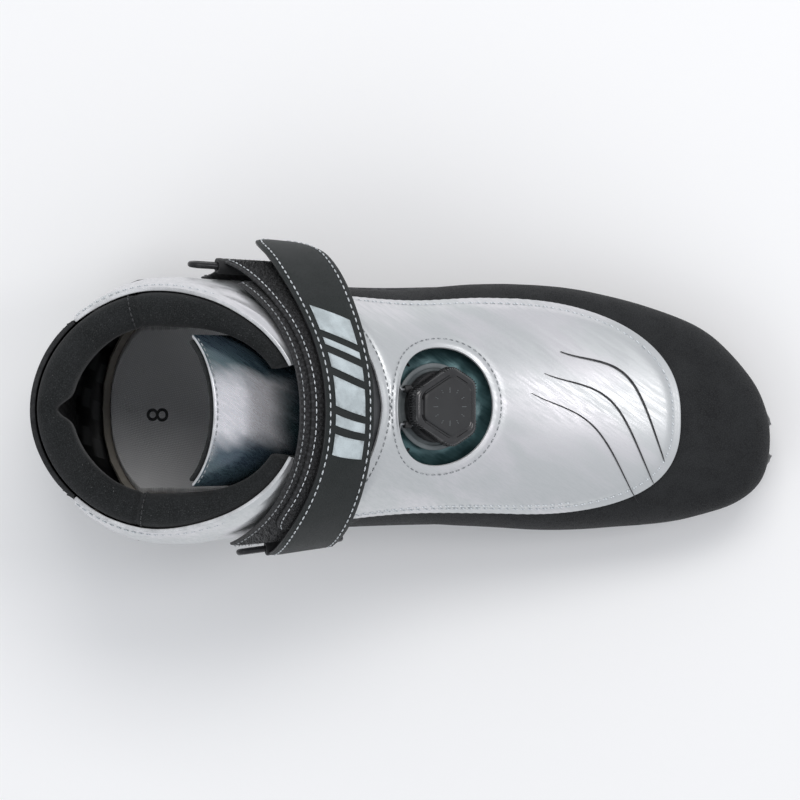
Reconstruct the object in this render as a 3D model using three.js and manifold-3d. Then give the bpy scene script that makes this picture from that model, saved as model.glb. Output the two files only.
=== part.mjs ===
import * as THREE from "three";
import { mergeVertices } from "three/addons/utils/BufferGeometryUtils.js";
import Module from "manifold-3d";

// Cross country race boot, left foot. Millimetres, +Z up, toe toward +X, big toe side toward -Y.
// The upper is a stack of thin layers that all follow one shoe last, so each layer is a patch of the
// last's skin between two offsets: skin(u, v, offset), u from the toe to the collar, v round the foot.

const wasm = await Module();
wasm.setup();
const { lerp, clamp, smoothstep, degToRad } = THREE.MathUtils;

// ---- overall sizes ----
const BOOT_LENGTH = 294;
const BALL_WIDTH = 99;
const COLLAR_HEIGHT = 146;

// ---- layers of the upper, as offsets from the outer face of the leather ----
const LEATHER = 1.6;
const LAYER_GAP = 0.7;
const STIFFENER = 1.2;
const LINING = 1.0;
const COVER = 1.2;
const UNDERLAY = 1.0;
const SHELL_THICKNESS = 2.0;
const BOARD = 1.8;
const FOOTBED = 3.2;

// ---- collar and tongue ----
const COLLAR_FOAM = 13.5;
const COLLAR_FOAM_FRONT = 6.5;
const COLLAR_FOAM_LOW = 2.6;
const TONGUE_ANGLE = 1.06;
const TONGUE_PLAY = 2.7;
const TONGUE_LEATHER = 1.3;
const TONGUE_FOAM = 5.2;
const SOFT_GAP = 0.6;

// ---- strap, rings and anchors ----
const STRAP_WIDTH = 27;
const PAD_WIDTH = 31;
const STRAP_THICKNESS = 1.2;
const HOOK_THICKNESS = 0.6;
const STRAP_GAP = 0.4;
const RING_WIRE = 1.25;
const RING_STRAIGHT = 34;
const RING_SHIFT = 3;
const RING_BARS_APART = 6.6;
const RING_PLAY = 0.35;

// ---- dial and lace ----
const KNOB_RADIUS = 15.2;
const HOUSING_RADIUS = 14;
const DIAL_TRAVEL = 2.2;
const DIAL_GAP = 0.3;
const LACE_RADIUS = 0.6;
const GUIDE_WALL = 0.9;

// ---- sole ----
const TREAD = 3;
const GROOVE_WIDTH = 9;
const GROOVE_OFFSET = 12;
const GROOVE_DEPTH = 1.8;
const BAR_RADIUS = 2;
const BAR_LENGTH = 44;
const BAR_PLAY = 0.2;
const POCKET_WIDTH = 34;

// ---------------------------------------------------------------- the last
// One row per ring, toe first: top x, top z, bottom x, bottom z, lateral y, medial y,
// height share of the widest line, fullness below it, fullness above it.
const LAST_LENGTH = 294;
const LAST_WIDTH = 99;
const LAST_HEIGHT = 146;
const LAST = [
  [150.3, 25.0, 150.3, 20.0, -16.0, -16.0, 0.42, 0.45, 0.80],
  [149.0, 30.5, 149.0, 18.5, -5.2, -27.6, 0.40, 0.45, 0.80],
  [144.5, 37.0, 144.5, 17.0, 5.8, -35.6, 0.38, 0.45, 0.80],
  [136.0, 43.0, 136.0, 15.5, 16.9, -41.9, 0.36, 0.45, 0.82],
  [124.0, 48.0, 124.0, 14.0, 27.8, -46.1, 0.34, 0.45, 0.84],
  [108.0, 52.5, 108.0, 12.5, 35.3, -49.5, 0.33, 0.45, 0.85],
  [86.0, 58.0, 86.0, 11.5, 41.8, -51.5, 0.33, 0.45, 0.85],
  [60.0, 66.0, 60.0, 11.5, 46.3, -52.6, 0.34, 0.50, 0.87],
  [34.0, 77.0, 28.0, 13.5, 46.6, -51.0, 0.37, 0.55, 0.90],
  [10.0, 90.0, -12.0, 18.0, 44.0, -49.5, 0.42, 0.65, 0.93],
  [-9.0, 102.0, -58.0, 22.0, 45.0, -51.0, 0.46, 0.75, 0.95],
  [-21.0, 112.0, -105.0, 23.0, 47.0, -54.0, 0.50, 0.85, 0.97],
  [-31.0, 122.0, -133.5, 32.0, 47.5, -55.5, 0.50, 0.90, 1.00],
  [-39.0, 131.0, -141.0, 58.0, 46.5, -55.0, 0.50, 1.00, 1.00],
  [-45.0, 139.0, -140.0, 95.0, 43.5, -51.0, 0.50, 1.00, 1.00],
  [-49.0, 146.0, -139.0, 134.0, 41.5, -48.6, 0.50, 1.00, 1.00],
];
const LAST_END = LAST.length - 1;
const LONG = BOOT_LENGTH / LAST_LENGTH;
const WIDE = BALL_WIDTH / LAST_WIDTH;
const FOOT_LEVEL = 10;
const HIGH = (COLLAR_HEIGHT - FOOT_LEVEL) / (LAST_HEIGHT - FOOT_LEVEL);

// A height of the last at the wanted collar height: the sole below the foot keeps its thickness.
function raised(z) {
  return FOOT_LEVEL + (z - FOOT_LEVEL) * HIGH;
}

function station(i) {
  if (i < 0) {
    const [topX, topZ, lowX, lowZ, lateral, medial, ...form] = LAST[-i];
    return [lowX, lowZ, topX, topZ, medial, lateral, ...form];
  }
  if (i > LAST_END) {
    return LAST[LAST_END].map((value, k) => 2 * value - LAST[LAST_END - 1][k]);
  }
  return LAST[i];
}

function ringForm(u) {
  const i = Math.min(Math.floor(u), LAST_END - 1);
  const t = u - i;
  const [a, b, c, d] = [station(i - 1), station(i), station(i + 1), station(i + 2)];
  return b.map((value, k) => {
    const slope0 = (c[k] - a[k]) / 2;
    const slope1 = (d[k] - value) / 2;
    const rise = c[k] - value;
    return value + t * (slope0 + t * (3 * rise - 2 * slope0 - slope1 + t * (slope0 + slope1 - 2 * rise)));
  });
}

// Half a ring as points of even arc spacing: share of the height and share of the half width.
const HALF = 48;
const FINE = 160;
function halfRing(form) {
  const [topX, topZ, lowX, lowZ, lateral, medial, widest, below, above] = form;
  const tall = Math.hypot((topX - lowX) * LONG, (topZ - lowZ) * HIGH);
  const half = Math.max((lateral - medial) / 2 * WIDE, 0);
  const fine = [];
  let length = 0;
  for (let i = 0; i <= FINE; i += 1) {
    const angle = Math.PI * i / FINE;
    const power = angle < Math.PI / 2 ? above : below;
    const sine = Math.abs(Math.sin(angle));
    const cosine = Math.cos(angle);
    const reach = (sine ** (2 / power) + Math.abs(cosine) ** (2 / power)) ** (-power / 2);
    const up = cosine * reach;
    const height = up > 0 ? widest + (1 - widest) * up : widest * (1 + up);
    const side = sine * reach;
    if (i > 0) {
      const last = fine[i - 1];
      length += Math.hypot((height - last.height) * tall, (side - last.side) * half);
    }
    fine.push({ height, side, length });
  }
  const even = [];
  let i = 0;
  for (let j = 0; j <= HALF; j += 1) {
    const goal = length * j / HALF;
    while (i < FINE - 1 && fine[i + 1].length < goal) i += 1;
    const t = clamp((goal - fine[i].length) / (fine[i + 1].length - fine[i].length), 0, 1);
    even.push([lerp(fine[i].height, fine[i + 1].height, t), lerp(fine[i].side, fine[i + 1].side, t)]);
  }
  return even;
}

// The last as a grid of points and normals.
const PER_STATION = 12;
const ROWS = LAST_END * PER_STATION;
const grid = [];
for (let i = 0; i <= ROWS; i += 1) {
  const form = ringForm(i / PER_STATION);
  const [topX, topZ, lowX, lowZ, lateral, medial] = form;
  const even = halfRing(form);
  const row = [];
  for (let j = -HALF; j <= HALF; j += 1) {
    const [height, side] = even[Math.abs(j)];
    const middle = (lateral + medial) / 2 * WIDE;
    const y = middle + Math.sign(j) * side * (lateral - medial) / 2 * WIDE;
    row.push(new THREE.Vector3(lerp(lowX, topX, height) * LONG, y, raised(lerp(lowZ, topZ, height))));
  }
  grid.push(row);
}
const normals = grid.map((row, i) => row.map((point, j) => {
  if (i === 0) return new THREE.Vector3(1, 0, 0);
  const ahead = grid[Math.min(i + 1, ROWS)][j];
  const behind = grid[i - 1][j];
  const left = row[j === 0 ? 2 * HALF - 1 : j - 1];
  const right = row[j === 2 * HALF ? 1 : j + 1];
  const across = right.clone().sub(left);
  return across.cross(ahead.clone().sub(behind)).normalize();
}));

function lookUp(table, u, v) {
  const around = v - 2 * Math.floor((v + 1) / 2);
  const x = clamp(u * PER_STATION, 0, ROWS - 1e-6);
  const y = clamp((around + 1) * HALF, 0, 2 * HALF - 1e-6);
  const [i, j] = [Math.floor(x), Math.floor(y)];
  const near = table[i][j].clone().lerp(table[i + 1][j], x - i);
  const far = table[i][j + 1].clone().lerp(table[i + 1][j + 1], x - i);
  return near.lerp(far, y - j);
}

function skin(u, v, offset = 0) {
  return lookUp(grid, u, v).addScaledVector(skinNormal(u, v), offset);
}

function skinNormal(u, v) {
  return lookUp(normals, u, v).normalize();
}

// Unit directions of growing u and v at a place on the last, and the millimetres one step covers.
function directions(u, v) {
  const step = 0.04;
  const lengthways = skin(u + step, v).sub(skin(u - step, v)).divideScalar(2 * step);
  const around = skin(u, v + step).sub(skin(u, v - step)).divideScalar(2 * step);
  const perU = lengthways.length();
  const perV = around.length();
  lengthways.normalize();
  around.addScaledVector(lengthways, -around.dot(lengthways)).normalize();
  return { lengthways, around, perU, perV };
}

// ---------------------------------------------------------------- solids
function orient(positions, index) {
  let volume = 0;
  const [a, b, c] = [new THREE.Vector3(), new THREE.Vector3(), new THREE.Vector3()];
  for (let i = 0; i < index.length; i += 3) {
    a.fromArray(positions, 3 * index[i]);
    b.fromArray(positions, 3 * index[i + 1]);
    c.fromArray(positions, 3 * index[i + 2]);
    volume += a.dot(b.cross(c));
  }
  if (volume < 0) index.reverse();
  const geometry = new THREE.BufferGeometry();
  geometry.setAttribute("position", new THREE.Float32BufferAttribute(positions, 3));
  geometry.setIndex(index);
  geometry.computeVertexNormals();
  return geometry;
}

// A closed solid between an upper and a lower grid of points. loop joins the last column to the
// first, zip leaves out the wall of the first row, where the two halves of the row meet.
function layer(rows, cols, upper, lower, { loop = false, zip = false } = {}) {
  const positions = [];
  const index = [];
  const across = loop ? cols : cols + 1;
  for (const face of [upper, lower]) {
    for (let i = 0; i <= rows; i += 1) {
      for (let j = 0; j < across; j += 1) positions.push(...face(i / rows, j / cols).toArray());
    }
  }
  const up = (i, j) => i * across + j % across;
  const low = (i, j) => (rows + 1) * across + up(i, j);
  const quad = (a, b, c, d) => index.push(a, b, c, a, c, d);
  for (let i = 0; i < rows; i += 1) {
    for (let j = 0; j < cols; j += 1) {
      quad(up(i, j), up(i + 1, j), up(i + 1, j + 1), up(i, j + 1));
      quad(low(i, j + 1), low(i + 1, j + 1), low(i + 1, j), low(i, j));
    }
  }
  for (let i = 0; i < rows && !loop; i += 1) {
    quad(up(i + 1, 0), up(i, 0), low(i, 0), low(i + 1, 0));
    quad(up(i, cols), up(i + 1, cols), low(i + 1, cols), low(i, cols));
  }
  for (let j = 0; j < cols; j += 1) {
    if (!zip) quad(up(0, j), up(0, j + 1), low(0, j + 1), low(0, j));
    quad(up(rows, j + 1), up(rows, j), low(rows, j), low(rows, j + 1));
  }
  return orient(positions, index);
}

// A layer of the last: at(s, t) gives the place [u, v], high and low give its two offsets.
function patch(rows, cols, at, low, high, options) {
  const face = (offset) => (s, t) => {
    const [u, v] = at(s, t);
    return skin(u, v, typeof offset === "function" ? offset(u, v) : offset);
  };
  return layer(rows, cols, face(high), face(low), options);
}

// A plain patch between two limits of u (as functions of v) and two limits of v.
function band(rows, cols, v0, v1, u0, u1, low, high, options) {
  const at = (s, t) => {
    const v = lerp(v0, v1, t);
    return [lerp(u0(v), u1(v), s), v];
  };
  return patch(rows, cols, at, low, high, options);
}

// The whole last, swollen by an offset and capped, as a cutter for the sole.
function lastSolid(offset, uEnd, rows, cols) {
  const positions = [];
  const index = [];
  for (let i = 0; i <= rows; i += 1) {
    for (let j = 0; j < cols; j += 1) {
      positions.push(...skin(uEnd * i / rows, 2 * j / cols - 1, offset).toArray());
    }
  }
  const centre = skin(uEnd, 0).lerp(skin(uEnd, 1), 0.5);
  positions.push(...centre.toArray());
  const hub = (rows + 1) * cols;
  for (let i = 0; i < rows; i += 1) {
    for (let j = 0; j < cols; j += 1) {
      const [a, b] = [i * cols + j, i * cols + (j + 1) % cols];
      index.push(a, a + cols, b + cols, a, b + cols, b);
    }
  }
  for (let j = 0; j < cols; j += 1) index.push(rows * cols + j, hub, rows * cols + (j + 1) % cols);
  return orient(positions, index);
}

function toSolid(geometry) {
  const bare = geometry.clone();
  bare.deleteAttribute("normal");
  bare.deleteAttribute("uv");
  const merged = mergeVertices(bare, 1e-4);
  return new wasm.Manifold(new wasm.Mesh({
    numProp: 3,
    vertProperties: new Float32Array(merged.attributes.position.array),
    triVerts: new Uint32Array(merged.index.array),
  }));
}

function toGeometry(solid) {
  const mesh = solid.getMesh();
  const geometry = new THREE.BufferGeometry();
  geometry.setAttribute("position", new THREE.BufferAttribute(new Float32Array(mesh.vertProperties), 3));
  geometry.setIndex(new THREE.BufferAttribute(new Uint32Array(mesh.triVerts), 1));
  geometry.computeVertexNormals();
  return geometry;
}

function cut(geometry, ...tools) {
  return toGeometry(tools.reduce((solid, tool) => solid.subtract(toSolid(tool)), toSolid(geometry)));
}

function join(geometry, ...others) {
  return toGeometry(others.reduce((solid, other) => solid.add(toSolid(other)), toSolid(geometry)));
}

function common(geometry, other) {
  return toGeometry(toSolid(geometry).intersect(toSolid(other)));
}

function block(x0, x1, y0, y1, z0, z1) {
  const box = new THREE.BoxGeometry(x1 - x0, y1 - y0, z1 - z0);
  return box.translate((x0 + x1) / 2, (y0 + y1) / 2, (z0 + z1) / 2);
}

function rod(radius, length, sides = 16) {
  return new THREE.CylinderGeometry(radius, radius, length, sides);
}

// A turned solid about the local Z axis, from [radius, z] corners of a closed outline.
function turned(corners, sides = 24) {
  const outline = corners.map(([radius, z]) => new THREE.Vector2(radius, z));
  outline.push(outline[0].clone());
  return new THREE.LatheGeometry(outline, sides).rotateX(Math.PI / 2);
}

function prism(points, depth) {
  const shape = new THREE.Shape(points.map(([x, y]) => new THREE.Vector2(x, y)));
  return new THREE.ExtrudeGeometry(shape, { depth, bevelEnabled: false });
}

// ---------------------------------------------------------------- assembly
const boot = new THREE.Group();

const FINISH = {
  silver: { color: 0xc9ced2, roughness: 0.3, metalness: 0.6 },
  teal: { color: 0x2f5258, roughness: 0.32, metalness: 0.55 },
  blackLeather: { color: 0x17181a, roughness: 0.6, metalness: 0 },
  softBlack: { color: 0x1b1c1e, roughness: 0.95, metalness: 0 },
  webbing: { color: 0x202124, roughness: 0.85, metalness: 0 },
  lining: { color: 0x2a2b2d, roughness: 0.95, metalness: 0 },
  board: { color: 0x8a8478, roughness: 0.9, metalness: 0 },
  footbed: { color: 0xa9acae, roughness: 0.85, metalness: 0 },
  carbon: { color: 0x111214, roughness: 0.35, metalness: 0.1 },
  rubber: { color: 0x0f0f10, roughness: 0.8, metalness: 0 },
  plastic: { color: 0x141517, roughness: 0.35, metalness: 0 },
  greyPlastic: { color: 0x53565a, roughness: 0.45, metalness: 0 },
  steel: { color: 0xb9bbbd, roughness: 0.25, metalness: 1 },
};

function piece(name, geometry, finish, parent = boot) {
  const mesh = new THREE.Mesh(geometry, new THREE.MeshStandardMaterial(finish));
  mesh.name = name;
  parent.add(mesh);
  return mesh;
}

// ---------------------------------------------------------------- lines on the last
const EDGE_GAP_U = 0.025;
const EDGE_GAP_V = 0.004;
const SEAM_U = 9.6;
const THROAT_V = 0.1;
const FEATHER_V = 0.72;
const HEEL_PANEL_V = 0.74;
const SHELL_OVERLAP_U = 0.3;

// The line where the black vamp ends and the silver quarters begin.
function seamLine(v) {
  return SEAM_U + 0.55 * Math.abs(v);
}

// The collar's top edge: low at the throat and ankle, highest at the heel.
function collarLine(v) {
  const side = 1 - Math.abs(1 - (v < 0 ? v + 2 : v));
  if (side < 0.5) return lerp(12.7, 14.2, smoothstep(side, 0, 0.5));
  return lerp(14.2, LAST_END, smoothstep(side, 0.5, 1));
}

// The lower edge of the collar foam, which is also the top of the stiffener and lining.
function foamLine(v) {
  const side = 1 - Math.abs(1 - (v < 0 ? v + 2 : v));
  return 11.2 + 2.6 * side ** 1.5;
}

function foamThickness(u, v) {
  const side = 1 - Math.abs(1 - (v < 0 ? v + 2 : v));
  const rim = lerp(COLLAR_FOAM_FRONT, COLLAR_FOAM, smoothstep(side, 0.12, 0.48));
  const share = clamp((u - foamLine(v)) / (collarLine(v) - foamLine(v)), 0, 1);
  return lerp(COLLAR_FOAM_LOW, rim, smoothstep(share, 0, 0.85));
}

// ---------------------------------------------------------------- sole
// x, lateral y, medial y of the sole's edge, toe first.
const SOLE = [
  [150.5, -16, -16],
  [149, -4.6, -28],
  [144.5, 6.2, -36],
  [136, 17.2, -42.2],
  [124, 27.8, -46.2],
  [106, 35.4, -49],
  [80, 41.5, -50.3],
  [50, 43, -49.4],
  [18, 37.5, -44],
  [-16, 31, -37.5],
  [-52, 29, -35],
  [-86, 31, -35.5],
  [-114, 31, -34],
  [-132, 24, -27],
  [-141, 12, -15],
  [-143.5, -1.5, -1.5],
];
const SOLE_TOP = 32;
const SHELL_GAP = 1.4;
const SHELL_LIFT = 1.15;
const BAR_X = BOOT_LENGTH / 2 - 7.5;
const BAR_Y = -13 * WIDE;
const BAR_Z = 7;
const POCKET_LENGTH = 16;
const POCKET_TOP = 10;
const SOLE_TURN = Math.atan2(-11.5 * WIDE, 285 * LONG);

function soleOutline(shrink = 0) {
  const lateral = SOLE.map(([x, y]) => [x * LONG, y * WIDE]);
  const medial = SOLE.slice(1, -1).map(([x, , y]) => [x * LONG, y * WIDE]).reverse();
  const centre = [0, -3 * WIDE];
  return [...lateral, ...medial].map(([x, y]) => {
    const length = Math.hypot(x - centre[0], (y - centre[1]) * 2);
    return [x - shrink * (x - centre[0]) / length, y - shrink * 2 * (y - centre[1]) / length];
  });
}

// Turns a tool made along X onto the sole's own centre line, which toes in a little.
function alongSole(geometry) {
  return geometry.translate(-BAR_X, 0, 0).rotateZ(SOLE_TURN).translate(BAR_X, BAR_Y, 0);
}

function grooves(depthTop) {
  return [-1, 1].map((side) => {
    const y = side * GROOVE_OFFSET;
    return alongSole(block(-2 * BOOT_LENGTH, BAR_X, y - GROOVE_WIDTH / 2, y + GROOVE_WIDTH / 2, -1, depthTop));
  });
}

function archTool() {
  const x = [28, 4, -28, -50, -64].map((value) => value * LONG);
  const rise = [TREAD - 1, 8.5, 11, 10, TREAD - 1];
  const profile = new THREE.Shape([
    new THREE.Vector2(x[0] + 6, -1),
    ...x.map((value, i) => new THREE.Vector2(value, rise[i])),
    new THREE.Vector2(x[4] - 6, -1),
  ]);
  const wide = 2 * BALL_WIDTH;
  const geometry = new THREE.ExtrudeGeometry(profile, { depth: wide, bevelEnabled: false });
  return geometry.rotateX(Math.PI / 2).translate(0, wide / 2, 0);
}

function toeSpringTool() {
  const start = 112 * LONG;
  const end = 160 * LONG;
  const profile = new THREE.Shape([
    new THREE.Vector2(start, TREAD - 2),
    new THREE.Vector2(end, TREAD - 2),
    new THREE.Vector2(end, TREAD + 4),
    new THREE.Vector2(start, TREAD),
  ]);
  const wide = 2 * BALL_WIDTH;
  const geometry = new THREE.ExtrudeGeometry(profile, { depth: wide, bevelEnabled: false });
  return geometry.rotateX(Math.PI / 2).translate(0, wide / 2, 0);
}

function chassis() {
  const body = prism(soleOutline(), SOLE_TOP - TREAD).translate(0, 0, TREAD);
  const last = lastSolid(SHELL_LIFT + SHELL_THICKNESS + SHELL_GAP, 13, 26, 36);
  const half = POCKET_LENGTH / 2;
  const pocket = block(BAR_X - half, BAR_X + half, -POCKET_WIDTH / 2, POCKET_WIDTH / 2, -1, POCKET_TOP);
  const bore = rod(BAR_RADIUS + BAR_PLAY, BAR_LENGTH + 2 * BAR_PLAY).translate(BAR_X, 0, BAR_Z);
  const placed = [pocket, bore].map(alongSole);
  return cut(body, last, archTool(), toeSpringTool(), ...grooves(TREAD + GROOVE_DEPTH), ...placed);
}

// One rubber tread block: the sole outline cut to a range of x and one side of a groove.
function tread(xHeel, xToe, side) {
  const inner = GROOVE_OFFSET + GROOVE_WIDTH / 2;
  const plate = prism(soleOutline(1.2), TREAD - DIAL_GAP);
  const [y0, y1] = side > 0 ? [inner, BALL_WIDTH] : [-BALL_WIDTH, -inner];
  const region = alongSole(block(xHeel * LONG, xToe * LONG, y0, y1, -1, TREAD + 1));
  return common(plate, region);
}

// Blind cross cuts in a tread, so its ground face stays one face.
function treadCuts(xHeel, xToe, side) {
  const inner = GROOVE_OFFSET + GROOVE_WIDTH / 2;
  const cuts = [];
  const pitch = 9;
  const depth = 1.4;
  const [start, end] = [inner + 4, inner + 13];
  for (let x = (xHeel + 6) * LONG; x < (xToe - 6) * LONG; x += pitch) {
    const [y0, y1] = side > 0 ? [start, end] : [-end, -start];
    cuts.push(alongSole(block(x, x + 2.6, y0, y1, -1, depth)));
  }
  return cuts;
}

function sole() {
  piece("sole_chassis", chassis(), FINISH.carbon);
  const bar = rod(BAR_RADIUS, BAR_LENGTH, 24).translate(BAR_X, 0, BAR_Z);
  piece("toe_bar", alongSole(bar), FINISH.steel);
  const zones = { forefoot: [44, 116], heel: [-136, -72] };
  for (const [zone, [xHeel, xToe]] of Object.entries(zones)) {
    for (const [name, side] of [["lateral", 1], ["medial", -1]]) {
      const rubber = cut(tread(xHeel, xToe, side), ...treadCuts(xHeel, xToe, side));
      piece(`tread_${zone}_${name}`, rubber, FINISH.rubber);
    }
  }
}

// The carbon shell cups the last from below, lowest at the toe and highest at arch and heel.
const SHELL_EDGE = [0.76, 0.72, 0.7, 0.69, 0.68, 0.68, 0.68, 0.67, 0.65, 0.63, 0.62, 0.62, 0.63, 0.66];
function shellEdge(u) {
  const i = Math.min(Math.floor(u), SHELL_EDGE.length - 2);
  return lerp(SHELL_EDGE[i], SHELL_EDGE[i + 1], u - i);
}

// The shell's upper edge round the back of the heel.
const SHELL_SIDE_V = 0.64;
function shellRear(v) {
  return lerp(12.1, 12.9, smoothstep(1 - Math.abs(1 - v), SHELL_SIDE_V, 1));
}

function shell() {
  const at = (s, t) => {
    const rear = shellRear(lerp(SHELL_SIDE_V, 2 - SHELL_SIDE_V, t));
    const u = lerp(0.7, rear, s);
    const edge = shellEdge(u);
    return [u, lerp(edge, 2 - edge, t)];
  };
  piece("carbon_shell", patch(24, 16, at, SHELL_LIFT, SHELL_LIFT + SHELL_THICKNESS), FINISH.carbon);
}

// ---------------------------------------------------------------- inner parts underfoot
const BOARD_OFFSET = -(LEATHER + 2 * LAYER_GAP + 0.6);
function underfoot(name, edge, uToe, uHeel, low, high, finish) {
  const at = (s, t) => {
    const u = lerp(uToe, uHeel, s);
    const taper = 0.05 * smoothstep(u, 9, 11.5) + 0.05 * smoothstep(2.2, u, u + 1);
    return [u, lerp(edge + taper, 2 - edge - taper, t)];
  };
  piece(name, patch(14, 8, at, low, high), finish);
}

function insoles() {
  const boardLow = BOARD_OFFSET - BOARD;
  underfoot("insole_board", 0.7, 2.8, 11.5, boardLow, BOARD_OFFSET, FINISH.board);
  const bedHigh = boardLow - LAYER_GAP - 0.2;
  underfoot("footbed", 0.71, 2.6, 11.4, bedHigh - FOOTBED, bedHigh, FINISH.footbed);
}

// ---------------------------------------------------------------- upper
const NOTCH_V = 0.3;
const NOTCH_U = 7.1;
function vamp() {
  const at = (s, t) => {
    const v = lerp(-FEATHER_V, FEATHER_V, t);
    return [s * (seamLine(v) - EDGE_GAP_U), v];
  };
  const panel = patch(18, 18, at, -LEATHER, 0, { zip: true });
  const notch = band(4, 6, -NOTCH_V, NOTCH_V, () => NOTCH_U, () => SEAM_U + 0.6, -4, 3);
  piece("vamp_panel", cut(panel, notch), FINISH.blackLeather);
}

function quarters() {
  for (const [name, side] of [["lateral", 1], ["medial", -1]]) {
    const at = (s, t) => {
      const v = lerp(THROAT_V, HEEL_PANEL_V - EDGE_GAP_V, t);
      const low = seamLine(v) + EDGE_GAP_U + 1.6 * smoothstep(v, FEATHER_V - 0.1, FEATHER_V + 0.12);
      return [lerp(low, collarLine(v), s), side * v];
    };
    piece(`quarter_${name}`, patch(9, 11, at, -LEATHER, 0), FINISH.silver);
  }
  const at = (s, t) => {
    const v = lerp(HEEL_PANEL_V, 2 - HEEL_PANEL_V, t);
    return [lerp(shellRear(v) - SHELL_OVERLAP_U, collarLine(v), s), v];
  };
  piece("heel_panel", patch(10, 8, at, -LEATHER, 0), FINISH.blackLeather);
}

// The silver cover over the forefoot: its outline as [u, v], clockwise from the rear middle.
const COVER_FRONT_U = 4.8;
const COVER_WIDEST_U = 7.6;
const COVER_REAR_U = 9.9;
const COVER_CORNER_U = 10.6;
const COVER_HALF_V = 0.345;
const COVER_LIFT = 1.2;
const HOLE_LENGTH = 44;
const HOLE_WIDTH = 46;
const DIAL_U = 8.76;

function coverOutline(steps) {
  const half = [];
  for (let i = 0; i <= steps; i += 1) {
    const v = COVER_HALF_V * i / steps;
    half.push([lerp(COVER_REAR_U, COVER_CORNER_U, (i / steps) ** 1.4), v]);
  }
  for (let i = 1; i <= steps; i += 1) {
    half.push([lerp(COVER_CORNER_U, COVER_WIDEST_U, i / steps), COVER_HALF_V]);
  }
  const power = 2 / 2.5;
  for (let i = 1; i <= 2 * steps; i += 1) {
    const angle = Math.PI / 2 * i / (2 * steps);
    const reach = (COVER_WIDEST_U - COVER_FRONT_U) * Math.sin(angle) ** power;
    half.push([COVER_WIDEST_U - reach, COVER_HALF_V * Math.max(Math.cos(angle), 0) ** power]);
  }
  const mirrored = half.slice(1, -1).reverse().map(([u, v]) => [u, -v]);
  return [...half, ...mirrored];
}

function cover() {
  const outline = coverOutline(6);
  const { perU, perV } = directions(DIAL_U, 0);
  const [holeU, holeV] = [HOLE_LENGTH / 2 / perU, HOLE_WIDTH / 2 / perV];
  const at = (s, t) => {
    const [u, v] = outline[Math.round(t * outline.length) % outline.length];
    const reach = Math.hypot((u - DIAL_U) / holeU, v / holeV);
    const share = lerp(1 / reach, 1, s);
    return [DIAL_U + (u - DIAL_U) * share, v * share];
  };
  const high = COVER_LIFT + COVER;
  piece("vamp_cover", patch(5, outline.length, at, COVER_LIFT, high, { loop: true }), FINISH.silver);
}

// The teal underlay dips toward the dial.
const UNDERLAY_HALF_V = 0.36;
const UNDERLAY_DEPTH = 5.8;
const UNDERLAY_EDGE = -(LEATHER + LAYER_GAP);
function underlayTop(u, v) {
  const across = 1 - (v / UNDERLAY_HALF_V) ** 2;
  const along = smoothstep(1.7 - Math.abs(u - DIAL_U), 0, 0.9);
  return UNDERLAY_EDGE - (UNDERLAY_DEPTH + UNDERLAY_EDGE) * Math.sqrt(Math.max(across, 0)) * along;
}

function underlay() {
  const geometry = band(6, 10, -UNDERLAY_HALF_V, UNDERLAY_HALF_V, () => 6.95, () => SEAM_U - 0.05,
    (u, v) => underlayTop(u, v) - UNDERLAY, underlayTop);
  piece("dial_underlay", geometry, FINISH.teal);
  const gusset = band(6, 8, -0.3, 0.3, () => SEAM_U, () => 11.1, UNDERLAY_EDGE - UNDERLAY, UNDERLAY_EDGE);
  piece("throat_gusset", gusset, FINISH.plastic);
}

function stiffeners() {
  const high = -(LEATHER + LAYER_GAP + 0.2);
  const low = high - STIFFENER;
  const puff = band(5, 10, -0.62, 0.62, () => 1, (v) => 3.8 - 2 * v * v, low, high);
  piece("toe_puff", puff, FINISH.board);
  const start = (v) => 11 + 1.3 * smoothstep(1 - Math.abs(1 - v), 0.6, 0.85);
  const counter = band(5, 12, 0.5, 1.5, start, (v) => foamLine(v) - 0.1, low, high);
  piece("heel_counter", counter, FINISH.board);
}

const LINING_V = 0.66;
function linings() {
  const high = -(LEATHER + 2 * LAYER_GAP + STIFFENER + 0.5);
  const low = high - LINING;
  const front = band(8, 12, -0.57, 0.57, () => 1.8, () => 6.8, low, high);
  piece("lining_forefoot", front, FINISH.lining);
  for (const [name, side] of [["lateral", 1], ["medial", -1]]) {
    const at = (s, t) => {
      const nearMiddle = lerp(0.4, 0.17, smoothstep(lerp(6.9, 11.4, s), 9.6, 10.6));
      const u = lerp(6.9, foamLine(lerp(nearMiddle, LINING_V, t)) - 0.12, s);
      const near = lerp(0.4, 0.17, smoothstep(u, 9.6, 10.6));
      return [u, side * lerp(near, LINING_V, t)];
    };
    piece(`lining_${name}`, patch(9, 7, at, low, high), FINISH.lining);
  }
  const heel = band(5, 8, LINING_V + 0.01, 1.99 - LINING_V, () => 12.1, (v) => foamLine(v) - 0.12, low, high);
  piece("lining_heel", heel, FINISH.lining);
}

function collarFoam() {
  const high = -(LEATHER + SOFT_GAP);
  const seams = { lateral: [THROAT_V + 0.01, 0.56], heel: [0.56, 1.42], medial: [1.42, 1.99 - THROAT_V] };
  for (const [name, [v0, v1]] of Object.entries(seams)) {
    const low = (u, v) => high - foamThickness(u, v);
    const cols = name === "heel" ? 12 : 7;
    const pad = band(6, cols, v0 + EDGE_GAP_V / 2, v1 - EDGE_GAP_V / 2, foamLine, collarLine, low, high);
    piece(`collar_foam_${name}`, pad, FINISH.softBlack);
  }
}

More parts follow.
